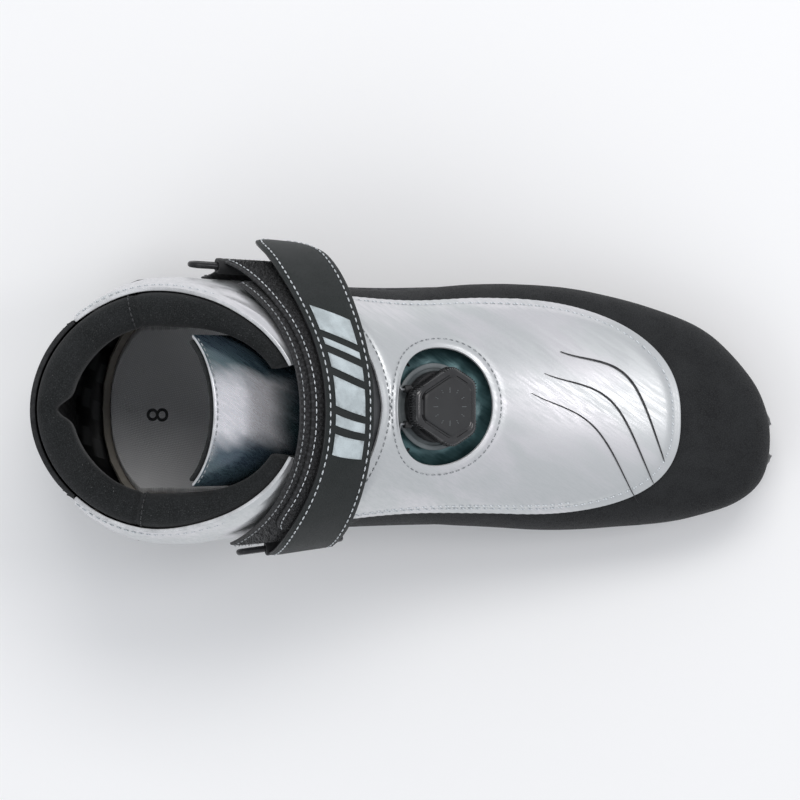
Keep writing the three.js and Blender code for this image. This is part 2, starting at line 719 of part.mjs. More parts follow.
// ---------------------------------------------------------------- tongue
// The tongue is sewn on under the dial's underlay and leans back from the shin: x, z of its upper line.
const TONGUE_UPPER = [[-22, 101], [-42, 118], [-58, 133], [-69, 143]];
const TONGUE_FOOT_U = 8.15;
const TONGUE_BEND_U = 9.45;
const TONGUE_BEND_DEPTH = 10.5;
const TONGUE_Y = -4;
const TONGUE_FOOT_SHARE = 0.62;

function tongueLine() {
  const y = TONGUE_Y * WIDE;
  const foot = skin(TONGUE_FOOT_U, 0, -(UNDERLAY_DEPTH + UNDERLAY + LAYER_GAP)).setY(y);
  const bend = skin(TONGUE_BEND_U, 0, -TONGUE_BEND_DEPTH).setY(y);
  const upper = TONGUE_UPPER.map(([x, z]) => new THREE.Vector3(x * LONG, y, raised(z)));
  return new THREE.CatmullRomCurve3([foot, bend, ...upper]);
}

// The tongue's edges lie just inside the collar foam.
function tongueRadius() {
  const [, , , , lateral, medial] = LAST[LAST_END - 1];
  const inside = (lateral - medial) / 2 * WIDE - LEATHER - SOFT_GAP - COLLAR_FOAM - TONGUE_PLAY;
  return inside / Math.sin(TONGUE_ANGLE);
}

function tonguePoint(line, s, t, depth) {
  const centre = line.getPoint(s);
  const along = line.getTangent(s);
  const outward = new THREE.Vector3(along.z, 0, -along.x);
  const full = tongueRadius();
  const angle = (2 * t - 1) * TONGUE_ANGLE * lerp(TONGUE_FOOT_SHARE, 1, smoothstep(s, 0, 0.7));
  centre.addScaledVector(outward, (full - depth) * Math.cos(angle) - full);
  centre.y += (full - depth) * Math.sin(angle);
  return centre;
}

function tongue() {
  const line = tongueLine();
  const face = (depth) => (s, t) => tonguePoint(line, s, t, depth);
  const sheet = (from, to) => layer(9, 8, face(from), face(to));
  piece("tongue_leather", sheet(0, TONGUE_LEATHER), FINISH.teal);
  const foamTop = TONGUE_LEATHER + SOFT_GAP;
  piece("tongue_foam", sheet(foamTop, foamTop + TONGUE_FOAM), FINISH.softBlack);
}

// ---------------------------------------------------------------- strap and rings
const PAD_LOW = COVER_LIFT + COVER + STRAP_GAP;
const RETURN_LOW = PAD_LOW + STRAP_THICKNESS + STRAP_GAP;
const HOOK_LOW = RETURN_LOW + STRAP_THICKNESS + STRAP_GAP;
const FLAP_LOW = HOOK_LOW + HOOK_THICKNESS + STRAP_GAP;
const BARREL = RING_WIRE + RING_PLAY + STRAP_THICKNESS;
const BAR_OFFSET = Math.max(FLAP_LOW + STRAP_THICKNESS - BARREL, COVER_LIFT + COVER + 0.2 + BARREL);
const LOOP_TUCK = 0.12;
const LOOP_LOW = BAR_OFFSET + BARREL - STRAP_THICKNESS - LOOP_TUCK;
const RING_V = { lateral: 0.435, medial: -0.45 };

// Middle line of the straps: over the instep they lean forward as they go down each side.
function strapLine(start, v) {
  return start - (v < 0 ? 2.6 : 1.9) * Math.abs(v) ** 1.5;
}

// A strap along v whose width is given in millimetres.
function ribbon(steps, v0, v1, start, width, low, thickness, turn = () => 0) {
  const at = (s, t, offset) => {
    const v = lerp(v0, v1, s);
    const middle = strapLine(start, v);
    const { perU } = directions(middle, v);
    const across = (2 * t - 1) * width(v) / 2;
    return skin(middle + across / perU + turn(v, t), v, offset(v));
  };
  return layer(steps, 3, (s, t) => at(s, t, (v) => low(v) + thickness), (s, t) => at(s, t, low));
}

// The frame of a ring: its middle, the bar direction and the direction away from the ridge.
function ringFrame(side, start) {
  const v = RING_V[side];
  const u = strapLine(start, v);
  const { lengthways, around, perV } = directions(u, v);
  const down = around.multiplyScalar(Math.sign(v));
  return { u, v, perV, middle: skin(u, v, BAR_OFFSET), bar: lengthways, down, out: skinNormal(u, v) };
}

function onBar(geometry, frame, down, along = 0) {
  const basis = new THREE.Matrix4().makeBasis(frame.down, frame.bar, frame.down.clone().cross(frame.bar));
  basis.setPosition(frame.middle.clone().addScaledVector(frame.down, down).addScaledVector(frame.bar, along));
  return geometry.applyMatrix4(basis);
}

// A wire loop of two straight bars and two round ends, swept as a closed tube.
function wireLoop(frame) {
  const bend = RING_BARS_APART / 2;
  const path = [];
  for (const end of [1, -1]) {
    for (let i = 0; i <= 6; i += 1) {
      const angle = Math.PI * (i / 6 - 0.5);
      const across = -end * Math.sin(angle);
      path.push({ x: bend * across, y: end * (RING_STRAIGHT / 2 + bend * Math.cos(angle)), across, end,
        along: end * Math.cos(angle) });
    }
  }
  const sides = 8;
  const positions = [];
  const index = [];
  path.forEach((point, i) => {
    for (let j = 0; j < sides; j += 1) {
      const angle = 2 * Math.PI * j / sides;
      const out = RING_WIRE * Math.cos(angle);
      positions.push(point.x + out * point.across, point.y + out * point.along, RING_WIRE * Math.sin(angle));
      const next = (i + 1) % path.length;
      const [a, b] = [i * sides + j, i * sides + (j + 1) % sides];
      const [c, d] = [next * sides + (j + 1) % sides, next * sides + j];
      index.push(a, b, c, a, c, d);
    }
  });
  return onBar(orient(positions, index), frame, 0, RING_SHIFT);
}

function barrel(frame, shift, width) {
  const inner = RING_WIRE + RING_PLAY;
  const tube = turned([[inner, -width / 2], [BARREL, -width / 2], [BARREL, width / 2], [inner, width / 2]], 14);
  return onBar(tube.rotateX(-Math.PI / 2), frame, shift);
}

function borePlug(frame, shift) {
  return onBar(rod(RING_WIRE + RING_PLAY, 2 * RING_STRAIGHT, 14), frame, shift);
}

const FLAP_FLARE = 10;
const PAD_START = 12;
const RETURN_START = 11.75;
const FLAP_START = 11.15;
const FLAP_SET_BACK = 0.24;

function straps() {
  const bend = RING_BARS_APART / 2;
  const pad = ribbon(13, -0.37, 0.33, PAD_START, () => PAD_WIDTH, () => PAD_LOW, STRAP_THICKNESS);
  piece("strap_pad", pad, FINISH.webbing);

  const lateral = ringFrame("lateral", RETURN_START);
  const lateralEnd = lateral.v - bend / lateral.perV;
  const returnLow = (v) => lerp(RETURN_LOW, LOOP_LOW, smoothstep(v, 0.2, lateralEnd));
  const back = ribbon(13, -0.27, lateralEnd, RETURN_START, () => STRAP_WIDTH, returnLow, STRAP_THICKNESS);
  const backLoop = join(back, barrel(lateral, -bend, STRAP_WIDTH));
  piece("strap_return", cut(backLoop, borePlug(lateral, -bend)), FINISH.webbing);

  const medial = ringFrame("medial", FLAP_START);
  const medialEnd = medial.v + bend / medial.perV;
  const flapLow = (v) => FLAP_LOW + FLAP_FLARE * smoothstep(v, 0.12, 0.6)
    + (LOOP_LOW - FLAP_LOW) * smoothstep(-v, 0.2, -medialEnd);
  const flapWidth = (v) => STRAP_WIDTH * (v < 0.4 ? 1 : Math.sqrt(Math.max(1 - ((v - 0.4) / 0.115) ** 2, 0.05)));
  const setBack = (v) => FLAP_SET_BACK * Math.max(1 - (v / 0.4) ** 2, 0) ** 2;
  const flap = ribbon(18, medialEnd, 0.51, FLAP_START, flapWidth, flapLow, STRAP_THICKNESS, setBack);
  const flapLoop = join(flap, barrel(medial, -bend, STRAP_WIDTH));
  const flapMesh = cut(flapLoop, borePlug(medial, -bend));
  piece("strap_flap", flapMesh, FINISH.webbing);
  const hookLow = (v) => flapLow(v) - STRAP_GAP - HOOK_THICKNESS;
  const hook = ribbon(9, -0.16, 0.34, FLAP_START, () => STRAP_WIDTH - 5, hookLow, HOOK_THICKNESS, setBack);
  piece("hook_patch", hook, FINISH.softBlack);

  for (const [name, frame, start] of [["lateral", lateral, RETURN_START], ["medial", medial, FLAP_START]]) {
    piece(`ring_${name}`, wireLoop(frame), FINISH.steel);
    const sign = Math.sign(frame.v);
    const from = frame.v + sign * bend / frame.perV;
    const to = frame.v + sign * (bend + 15) / frame.perV;
    const low = BAR_OFFSET - BARREL;
    const sewn = 0.6;
    const tabLow = (v) => lerp(low, sewn, smoothstep(Math.abs(v - from), 0, Math.abs(to - from) * 0.6));
    const tab = ribbon(4, from, to, start, () => STRAP_WIDTH - 3, tabLow, STRAP_THICKNESS);
    const held = join(tab, barrel(frame, bend, STRAP_WIDTH - 3));
    piece(`ring_anchor_${name}`, cut(held, borePlug(frame, bend)), FINISH.webbing);
  }
}

// ---------------------------------------------------------------- dial
const DIAL_SEAT = 0.95;
const FLOOR_Z = -UNDERLAY_DEPTH + DIAL_SEAT;
const BASE_THICKNESS = 1.2;
const BASE_RADIUS = 17;
const CUP_Z = FLOOR_Z + BASE_THICKNESS + DIAL_GAP;
const CUP_WALL = 1.4;
const CUP_FLOOR = 1;
const CUP_TOP = 1.4;
const SPOOL_RADIUS = 9.6;
const SPOOL_HUB = 6;
const SPOOL_Z = CUP_Z + CUP_FLOOR + DIAL_GAP;
const SPOOL_FLANGE = 0.6;
const SPOOL_GROOVE = 1.8;
const SCREW_RADIUS = 1.9;
const SCREW_HEAD = 3.2;
const SPRING_THICKNESS = 0.4;
const DISC_THICKNESS = 1;
const KNOB_TOP = 1.5;
const KNOB_CORE_RADIUS = 11.6;

function dialFrame() {
  const group = new THREE.Group();
  const normal = skinNormal(DIAL_U, 0);
  group.position.copy(skin(DIAL_U, 0));
  group.rotation.y = Math.atan2(normal.x, normal.z);
  boot.add(group);
  return group;
}

// A triangle with blunt, rounded corners for the knob's grip, one corner toward the heel.
const KNOB_BLUNT = 0.07;
function knobOutline(radius) {
  const points = [];
  const steps = 30;
  for (let i = 0; i < steps; i += 1) {
    const angle = 2 * Math.PI * i / steps;
    const reach = radius * (1 - KNOB_BLUNT * Math.cos(3 * angle)) / (1 + KNOB_BLUNT);
    points.push([reach * Math.cos(angle), reach * Math.sin(angle)]);
  }
  return points;
}

function dial() {
  const frame = dialFrame();
  const bore = SCREW_RADIUS + DIAL_GAP;
  const base = turned([[bore, FLOOR_Z], [BASE_RADIUS, FLOOR_Z], [BASE_RADIUS, FLOOR_Z + BASE_THICKNESS],
    [bore, FLOOR_Z + BASE_THICKNESS]]);
  piece("dial_base", base, FINISH.greyPlastic, frame);

  const inner = HOUSING_RADIUS - CUP_WALL;
  const cup = turned([[bore, CUP_Z], [HOUSING_RADIUS, CUP_Z], [HOUSING_RADIUS, CUP_TOP], [inner, CUP_TOP],
    [inner, CUP_Z + CUP_FLOOR], [bore, CUP_Z + CUP_FLOOR]]);
  const exits = [-1, 1].map((side) => rod(LACE_RADIUS + 0.6, HOUSING_RADIUS, 10)
    .rotateZ(Math.PI / 2).translate(-HOUSING_RADIUS + 2, side * laceStart(), laceZ()));
  piece("dial_housing", cut(cup, ...exits), FINISH.plastic, frame);

  const low = SPOOL_Z + SPOOL_FLANGE;
  const high = low + SPOOL_GROOVE;
  const spoolTop = high + SPOOL_FLANGE;
  const spool = turned([[bore, SPOOL_Z], [SPOOL_RADIUS, SPOOL_Z], [SPOOL_RADIUS, low], [SPOOL_HUB, low],
    [SPOOL_HUB, high], [SPOOL_RADIUS, high], [SPOOL_RADIUS, spoolTop], [bore, spoolTop]], 18);
  piece("lace_spool", spool, FINISH.greyPlastic, frame);

  const springZ = spoolTop + DIAL_GAP;
  const springTop = springZ + SPRING_THICKNESS;
  const spring = turned([[bore, springZ], [SPOOL_RADIUS - 1, springZ], [SPOOL_RADIUS - 1, springTop],
    [bore, springTop]], 18);
  piece("detent_spring", spring, FINISH.steel, frame);

  const discZ = Math.max(springTop, CUP_TOP) + DIAL_GAP;
  const discTop = discZ + DISC_THICKNESS;
  const disc = turned([[bore, discZ], [KNOB_CORE_RADIUS - 1, discZ], [KNOB_CORE_RADIUS - 1, discTop],
    [bore, discTop]]);
  piece("drive_disc", disc, FINISH.greyPlastic, frame);

  const headZ = discTop + DIAL_TRAVEL + DIAL_GAP;
  const headTop = headZ + 0.8;
  const screw = turned([[0, CUP_Z], [SCREW_RADIUS, CUP_Z], [SCREW_RADIUS, headZ], [SCREW_HEAD, headZ],
    [SCREW_HEAD, headTop], [0, headTop]], 14);
  piece("dial_screw", screw, FINISH.steel, frame);

  const skirtZ = discTop + DIAL_GAP;
  const capZ = headTop + DIAL_GAP;
  const skirtInner = SCREW_HEAD + DIAL_GAP + 3;
  const core = turned([[0, capZ], [skirtInner, capZ], [skirtInner, skirtZ], [KNOB_CORE_RADIUS, skirtZ],
    [KNOB_CORE_RADIUS, capZ + KNOB_TOP], [0, capZ + KNOB_TOP]]);
  piece("knob_core", core, FINISH.plastic, frame);

  const gripZ = CUP_TOP + DIAL_GAP;
  const grip = prism(knobOutline(KNOB_RADIUS), capZ + KNOB_TOP - 0.6 - gripZ).translate(0, 0, gripZ);
  const hollow = rod(KNOB_CORE_RADIUS + DIAL_GAP, 30, 24).rotateX(Math.PI / 2);
  piece("knob_grip", cut(grip, hollow), FINISH.rubber, frame);
  return frame;
}

// ---------------------------------------------------------------- lace
function laceStart() {
  return SPOOL_HUB + LACE_RADIUS + DIAL_GAP;
}

function laceZ() {
  return SPOOL_Z + SPOOL_FLANGE + SPOOL_GROOVE / 2;
}

// The lace loops round the dial over the underlay: [u, v] places on its lateral half.
const LACE_HALF = [[9.3, 0.145], [9.02, 0.22], [8.6, 0.24], [8.15, 0.205], [7.82, 0.11]];
const LACE_FRONT = [7.72, 0];
const GUIDED = [0, 3];
const GUIDE_LENGTH = 4;
const GUIDE_BORE = LACE_RADIUS + 0.35;
const LACE_LIFT = GUIDE_BORE + GUIDE_WALL + 0.35;

function lace(frame) {
  frame.updateMatrixWorld(true);
  const reach = [0, 0.4, 0.8, 1, 1.22].map((share) => -share * HOUSING_RADIUS);
  const inDial = (side) => reach.map((x) => (
    frame.localToWorld(new THREE.Vector3(x, side * laceStart(), laceZ()))));
  const place = ([u, v]) => skin(u, v, underlayTop(u, v) + LACE_LIFT);
  const lateral = LACE_HALF.map(place);
  const medial = LACE_HALF.map(([u, v]) => place([u, -v]));
  const points = [...inDial(1), ...lateral, place(LACE_FRONT), ...medial.reverse(), ...inDial(-1).reverse()];
  const path = new THREE.CatmullRomCurve3(points, false, "centripetal");
  const profile = new THREE.Shape();
  profile.absarc(0, 0, LACE_RADIUS, 0, 2 * Math.PI);
  const cord = new THREE.ExtrudeGeometry(profile, { steps: 48, curveSegments: 3, extrudePath: path });
  piece("lace", cord, FINISH.steel);

  const zAxis = new THREE.Vector3(0, 0, 1);
  for (const [name, side] of [["lateral", 0], ["medial", 1]]) {
    for (const [where, k] of [["rear", GUIDED[0]], ["front", GUIDED[1]]]) {
      const number = side === 0 ? reach.length + k : points.length - 1 - reach.length - k;
      const along = path.getTangent(number / (points.length - 1));
      const half = GUIDE_LENGTH / 2;
      const outer = GUIDE_BORE + GUIDE_WALL;
      const tube = turned([[GUIDE_BORE, -half], [outer, -half], [outer, half], [GUIDE_BORE, half]], 10);
      tube.applyQuaternion(new THREE.Quaternion().setFromUnitVectors(zAxis, along));
      piece(`lace_guide_${name}_${where}`, tube.translate(...points[number].toArray()), FINISH.plastic);
    }
  }
}

sole();
shell();
insoles();
vamp();
quarters();
cover();
underlay();
stiffeners();
linings();
collarFoam();
tongue();
straps();
lace(dial());

// The origin is the middle of the boot's bounding box, on the ground.
const bounds = new THREE.Box3().setFromObject(boot);
const centre = bounds.getCenter(new THREE.Vector3());
boot.position.set(-centre.x, -centre.y, -bounds.min.z);
const group = new THREE.Group();
group.add(boot);

export default group;
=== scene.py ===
import math

import bmesh
import bpy
import numpy as np
from mathutils import Matrix, Vector, noise


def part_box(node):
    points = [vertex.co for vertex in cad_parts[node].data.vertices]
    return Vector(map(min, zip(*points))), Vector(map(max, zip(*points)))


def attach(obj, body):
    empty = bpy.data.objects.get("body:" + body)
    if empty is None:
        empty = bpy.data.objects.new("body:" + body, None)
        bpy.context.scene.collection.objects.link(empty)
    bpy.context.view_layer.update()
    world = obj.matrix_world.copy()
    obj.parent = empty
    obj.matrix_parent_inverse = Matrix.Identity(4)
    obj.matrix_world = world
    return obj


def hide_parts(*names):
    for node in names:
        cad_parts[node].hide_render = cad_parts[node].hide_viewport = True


# Looks of a cross country race boot, left foot. Points are worked out in millimetres in the boot's own
# drawing frame, toe toward +X and big toe side toward -Y, and go into meshes in metres in the CAD frame.

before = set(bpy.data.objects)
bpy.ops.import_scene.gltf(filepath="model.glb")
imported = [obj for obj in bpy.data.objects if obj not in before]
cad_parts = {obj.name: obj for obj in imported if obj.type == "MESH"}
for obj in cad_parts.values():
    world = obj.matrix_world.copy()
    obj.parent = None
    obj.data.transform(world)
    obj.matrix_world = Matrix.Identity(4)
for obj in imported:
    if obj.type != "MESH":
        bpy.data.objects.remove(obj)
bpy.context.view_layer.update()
MM = 0.001
BAR_CENTRE = np.array([139.5, -13.0, 7.0])
bar_low, bar_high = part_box("toe_bar")
SHIFT = (np.array(bar_low) + np.array(bar_high)) / 2 - BAR_CENTRE * MM


# ------------------------------------------------------------------ view and light
def set_camera():
    data = bpy.data.cameras.new("overhead")
    data.sensor_width = 36.0
    data.lens = 163.3
    eye = bpy.data.objects.new("overhead", data)
    eye.location = (SHIFT[0], SHIFT[1], 1.5)
    bpy.context.scene.collection.objects.link(eye)
    bpy.context.scene.camera = eye


def soft_box(name, place, aim, size, power, tint):
    data = bpy.data.lights.new(name, "AREA")
    data.shape = "RECTANGLE"
    data.size, data.size_y = size
    data.energy = power
    data.color = tint
    lamp = bpy.data.objects.new(name, data)
    lamp.location = place
    lamp.rotation_euler = (Vector(aim) - Vector(place)).to_track_quat("-Z", "Y").to_euler()
    bpy.context.scene.collection.objects.link(lamp)


def set_lights():
    scene = bpy.context.scene
    scene.view_settings.view_transform = "Standard"
    world = bpy.data.worlds.new("studio")
    world.use_nodes = True
    sky = world.node_tree.nodes["Background"]
    sky.inputs["Color"].default_value = (0.93, 0.95, 1.0, 1.0)
    sky.inputs["Strength"].default_value = 0.69
    scene.world = world
    soft_box("key", (0.10, 0.75, 1.35), (0.0, 0.0, 0.05), (0.9, 0.5), 6.9, (1.0, 0.985, 0.97))
    soft_box("fill", (-0.75, -0.55, 1.2), (0.0, 0.0, 0.05), (0.7, 0.7), 2.2, (0.95, 0.98, 1.0))
    soft_box("strip", (0.72, 0.12, 1.05), (0.08, 0.0, 0.08), (0.24, 0.4), 1.5, (1.0, 0.97, 0.98))


def set_floor():
    size = 3.0
    mesh = bpy.data.meshes.new("floor")
    mesh.from_pydata([(-size, -size, 0), (size, -size, 0), (size, size, 0), (-size, size, 0)], [],
                     [(0, 1, 2, 3)])
    floor = bpy.data.objects.new("floor", mesh)
    bpy.context.scene.collection.objects.link(floor)
    paper = bpy.data.materials.new("paper")
    paper.use_nodes = True
    shader = paper.node_tree.nodes["Principled BSDF"]
    shader.inputs["Base Color"].default_value = (0.93, 0.93, 0.925, 1.0)
    shader.inputs["Roughness"].default_value = 0.9
    shader.inputs["Specular IOR Level"].default_value = 0.1
    mesh.materials.append(paper)


set_camera()
set_lights()
set_floor()

# ------------------------------------------------------------------ the last
# One row per ring, toe first: top x, top z, bottom x, bottom z, lateral y, medial y,
# height share of the widest line, fullness below it, fullness above it.
LAST = np.array([
    [150.3, 25.0, 150.3, 20.0, -16.0, -16.0, 0.42, 0.45, 0.80],
    [149.0, 30.5, 149.0, 18.5, -5.2, -27.6, 0.40, 0.45, 0.80],
    [144.5, 37.0, 144.5, 17.0, 5.8, -35.6, 0.38, 0.45, 0.80],
    [136.0, 43.0, 136.0, 15.5, 16.9, -41.9, 0.36, 0.45, 0.82],
    [124.0, 48.0, 124.0, 14.0, 27.8, -46.1, 0.34, 0.45, 0.84],
    [108.0, 52.5, 108.0, 12.5, 35.3, -49.5, 0.33, 0.45, 0.85],
    [86.0, 58.0, 86.0, 11.5, 41.8, -51.5, 0.33, 0.45, 0.85],
    [60.0, 66.0, 60.0, 11.5, 46.3, -52.6, 0.34, 0.50, 0.87],
    [34.0, 77.0, 28.0, 13.5, 46.6, -51.0, 0.37, 0.55, 0.90],
    [10.0, 90.0, -12.0, 18.0, 44.0, -49.5, 0.42, 0.65, 0.93],
    [-9.0, 102.0, -58.0, 22.0, 45.0, -51.0, 0.46, 0.75, 0.95],
    [-21.0, 112.0, -105.0, 23.0, 47.0, -54.0, 0.50, 0.85, 0.97],
    [-31.0, 122.0, -133.5, 32.0, 47.5, -55.5, 0.50, 0.90, 1.00],
    [-39.0, 131.0, -141.0, 58.0, 46.5, -55.0, 0.50, 1.00, 1.00],
    [-45.0, 139.0, -140.0, 95.0, 43.5, -51.0, 0.50, 1.00, 1.00],
    [-49.0, 146.0, -139.0, 134.0, 41.5, -48.6, 0.50, 1.00, 1.00],
])
END = len(LAST) - 1
TOE_MIRROR = LAST[1][[2, 3, 0, 1, 5, 4, 6, 7, 8]]
STATIONS = np.vstack([TOE_MIRROR, LAST, 2 * LAST[-1] - LAST[-2]])
PER_STATION = 24
ROWS = END * PER_STATION
HALF = 96


def smooth(x, low=0.0, high=1.0):
    t = np.clip((x - low) / (high - low), 0, 1)
    return t * t * (3 - 2 * t)


def lerp(a, b, t):
    return a + (b - a) * t


def ring_forms(u):
    i = np.clip(np.floor(u).astype(int), 0, END - 1)
    t = (u - i)[:, None]
    a, b, c, d = (STATIONS[i + k] for k in range(4))
    slope0 = (c - a) / 2
    slope1 = (d - b) / 2
    rise = c - b
    return b + t * (slope0 + t * (3 * rise - 2 * slope0 - slope1 + t * (slope0 + slope1 - 2 * rise)))


def half_ring(form):
    top_x, top_z, low_x, low_z, lateral, medial, widest, below, above = form
    angle = np.linspace(0, math.pi, 641)
    power = np.where(angle < math.pi / 2, above, below)
    sine = np.abs(np.sin(angle))
    cosine = np.cos(angle)
    reach = (sine ** (2 / power) + np.abs(cosine) ** (2 / power)) ** (-power / 2)
    up = cosine * reach
    height = np.where(up > 0, widest + (1 - widest) * up, widest * (1 + up))
    side = sine * reach
    tall = math.hypot(top_x - low_x, top_z - low_z)
    half = max((lateral - medial) / 2, 0)
    length = np.concatenate([[0], np.cumsum(np.hypot(np.diff(height) * tall, np.diff(side) * half))])
    even = np.linspace(0, length[-1], HALF + 1)
    return np.interp(even, length, height), np.interp(even, length, side)


def build_last():
    points = np.zeros((ROWS + 1, 2 * HALF, 3))
    column = np.arange(-HALF, HALF)
    for i, form in enumerate(ring_forms(np.arange(ROWS + 1) / PER_STATION)):
        top_x, top_z, low_x, low_z, lateral, medial = form[:6]
        height, side = half_ring(form)
        share = height[np.abs(column)]
        points[i, :, 0] = lerp(low_x, top_x, share)
        points[i, :, 1] = (lateral + medial) / 2 + np.sign(column) * side[np.abs(column)] * (lateral
                                                                                             - medial) / 2
        points[i, :, 2] = lerp(low_z, top_z, share)
    lengthways = np.gradient(points, axis=0)
    across = (np.roll(points, -1, 1) - np.roll(points, 1, 1)) / 2
    normals = np.cross(across, lengthways)
    normals /= np.maximum(np.linalg.norm(normals, axis=2, keepdims=True), 1e-9)
    normals[0] = (1, 0, 0)
    return points, normals


GRID, NORMALS = build_last()
ALONG = np.concatenate([np.zeros((1, 2 * HALF)),
                        np.cumsum(np.linalg.norm(np.diff(GRID, axis=0), axis=2), 0)])
FROM_RIDGE = np.roll(GRID, -HALF, 1)
STEPS = np.linalg.norm(np.roll(FROM_RIDGE, -1, 1) - FROM_RIDGE, axis=2)
ROUND = np.concatenate([np.zeros((ROWS + 1, 1)), np.cumsum(STEPS, 1)], 1)


def cubic(t):
    return (
        (-t**3 + 2 * t**2 - t) / 2,
        (3 * t**3 - 5 * t**2 + 2) / 2,
        (-3 * t**3 + 4 * t**2 + t) / 2,
        (t**3 - t**2) / 2,
    )


def look_up(table, u, v):
    x = np.clip(np.asarray(u, float) * PER_STATION, 0, ROWS - 1e-6)
    y = (np.asarray(v, float) + 1) % 2 * HALF
    x, y = np.broadcast_arrays(x, y)
    i, j = np.floor(x).astype(int), np.floor(y).astype(int)
    across, along = cubic(x - i), cubic(y - j)
    total = 0
    for a in range(4):
        row = np.clip(i + a - 1, 0, ROWS)
        for b in range(4):
            total = total + table[row, (j + b - 1) % (2 * HALF)] * (across[a] * along[b])[..., None]
    return total


def skin_normal(u, v):
    found = look_up(NORMALS, u, v)
    return found / np.linalg.norm(found, axis=-1, keepdims=True)


def skin(u, v, offset=0.0):
    return look_up(GRID, u, v) + skin_normal(u, v) * np.asarray(offset, float)[..., None]


def cloth_place(u, v):
    """Lengths along and round the last in decimetres, which lay a pattern on the leather without stretch."""
    u, v = np.broadcast_arrays(np.asarray(u, float), np.asarray(v, float))
    x = np.clip(u * PER_STATION, 0, ROWS - 1e-6)
    i = np.floor(x).astype(int)
    part = x - i
    column = np.round((v + 1) % 2 * HALF).astype(int) % (2 * HALF)
    along = lerp(ALONG[i, column], ALONG[i + 1, column], part)
    turn = np.where(v >= 0, v, v + 2) * HALF
    j = np.clip(np.floor(turn).astype(int), 0, 2 * HALF - 1)
    near = lerp(ROUND[i, j], ROUND[i, j + 1], turn - j)
    far = lerp(ROUND[i + 1, j], ROUND[i + 1, j + 1], turn - j)
    around = lerp(near, far, part) - np.where(v >= 0, 0, lerp(ROUND[i, -1], ROUND[i + 1, -1], part))
    mean_along = lerp(ALONG[i].mean(-1), ALONG[i + 1].mean(-1), part)
    return np.stack([lerp(along, mean_along, 0.5), around], -1) / 100


def directions(u, v):
    step = 0.04
    lengthways = (skin(u + step, v) - skin(u - step, v)) / (2 * step)
    around = (skin(u, v + step) - skin(u, v - step)) / (2 * step)
    per_u = np.linalg.norm(lengthways, axis=-1)
    per_v = np.linalg.norm(around, axis=-1)
    lengthways = lengthways / per_u[..., None]
    around = around - (around * lengthways).sum(-1, keepdims=True) * lengthways
    around = around / np.linalg.norm(around, axis=-1, keepdims=True)
    return lengthways, around, per_u, per_v


# ------------------------------------------------------------------ meshes
def placed(points):
    return np.asarray(points, float) * MM + SHIFT


def volume(points, faces):
    total = 0.0
    for face in faces:
        first = points[face[0]]
        for k in range(1, len(face) - 1):
            total += np.dot(first, np.cross(points[face[k]], points[face[k + 1]]))
    return total


def make(name, points, faces, materials, uv=None, choice=None, flip=None):
    """A mesh object from drawing-frame points. flip None turns a closed mesh outwards."""
    points = placed(points)
    faces = [tuple(int(i) for i in face) for face in faces]
    if flip or (flip is None and volume(points - points.mean(0), faces) < 0):
        faces = [face[::-1] for face in faces]
    mesh = bpy.data.meshes.new(name)
    mesh.from_pydata(points.tolist(), [], faces)
    for material in materials:
        mesh.materials.append(material)
    if uv is not None:
        layer = mesh.uv_layers.new(name="lay")
        corner = np.zeros(len(mesh.loops), np.int32)
        mesh.loops.foreach_get("vertex_index", corner)
        layer.data.foreach_set("uv", np.asarray(uv, np.float32)[corner].ravel())
    if choice is not None:
        mesh.polygons.foreach_set("material_index", np.asarray(choice, np.int32))
    mesh.update()
    mesh.shade_smooth()
    mesh.set_sharp_from_angle(angle=math.radians(42))
    obj = bpy.data.objects.new(name, mesh)
    bpy.context.scene.collection.objects.link(obj)
    return obj


def settled(obj):
    """The object with its modifiers worked into its mesh."""
    bpy.context.view_layer.update()
    mesh = bpy.data.meshes.new_from_object(obj.evaluated_get(bpy.context.evaluated_depsgraph_get()))
    obj.modifiers.clear()
    old = obj.data
    obj.data = mesh
    bpy.data.meshes.remove(old)
    return obj


def softened(obj, width=0.3, segments=2, angle=50):
    bevel = obj.modifiers.new("edges", "BEVEL")
    bevel.width = width * MM
    bevel.segments = segments
    bevel.limit_method = "ANGLE"
    bevel.angle_limit = math.radians(angle)
    bevel.use_clamp_overlap = True
    settled(obj)
    obj.data.shade_smooth()
    obj.data.set_sharp_from_angle(angle=math.radians(65))
    return obj


def righted(obj):
    """Doubles merged and every face of a closed mesh turned outwards."""
    clean = bmesh.new()
    clean.from_mesh(obj.data)
    bmesh.ops.remove_doubles(clean, verts=clean.verts, dist=1e-6)
    bmesh.ops.recalc_face_normals(clean, faces=clean.faces)
    clean.to_mesh(obj.data)
    clean.free()
    return obj


def grid_faces(rows, cols, loop=False):
    across = cols if loop else cols + 1
    faces = []
    for i in range(rows):
        for j in range(cols):
            a, b = i * across + j, i * across + (j + 1) % across
            faces.append((a, b, b + across, a + across))
    return faces


def grid_places(rows, cols, loop=False):
    t = np.arange(cols if loop else cols + 1) / cols
    s, t = np.meshgrid(np.arange(rows + 1) / rows, t, indexing="ij")
    return s.ravel(), t.ravel()


def walls(faces, count):
    edges = {}
    for face in faces:
        for k in range(len(face)):
            edges[(face[k], face[(k + 1) % len(face)])] = True
    return [(q, p, p + count, q + count) for p, q in edges if (q, p) not in edges]


def between(name, high, low, faces, materials, uv, edge_width=0.3):
    """A closed layer between two sheets of points with the same faces; the last material is for cut edges."""
    count = len(high)
    sides = walls(faces, count)
    under = [tuple(i + count for i in face[::-1]) for face in faces]
    choice = [0] * (2 * len(faces)) + [len(materials) - 1] * len(sides)
    obj = make(name, np.vstack([high, low]), [*faces, *under, *sides], materials, np.vstack([uv, uv]),
               choice)
    return softened(obj, edge_width) if edge_width else obj


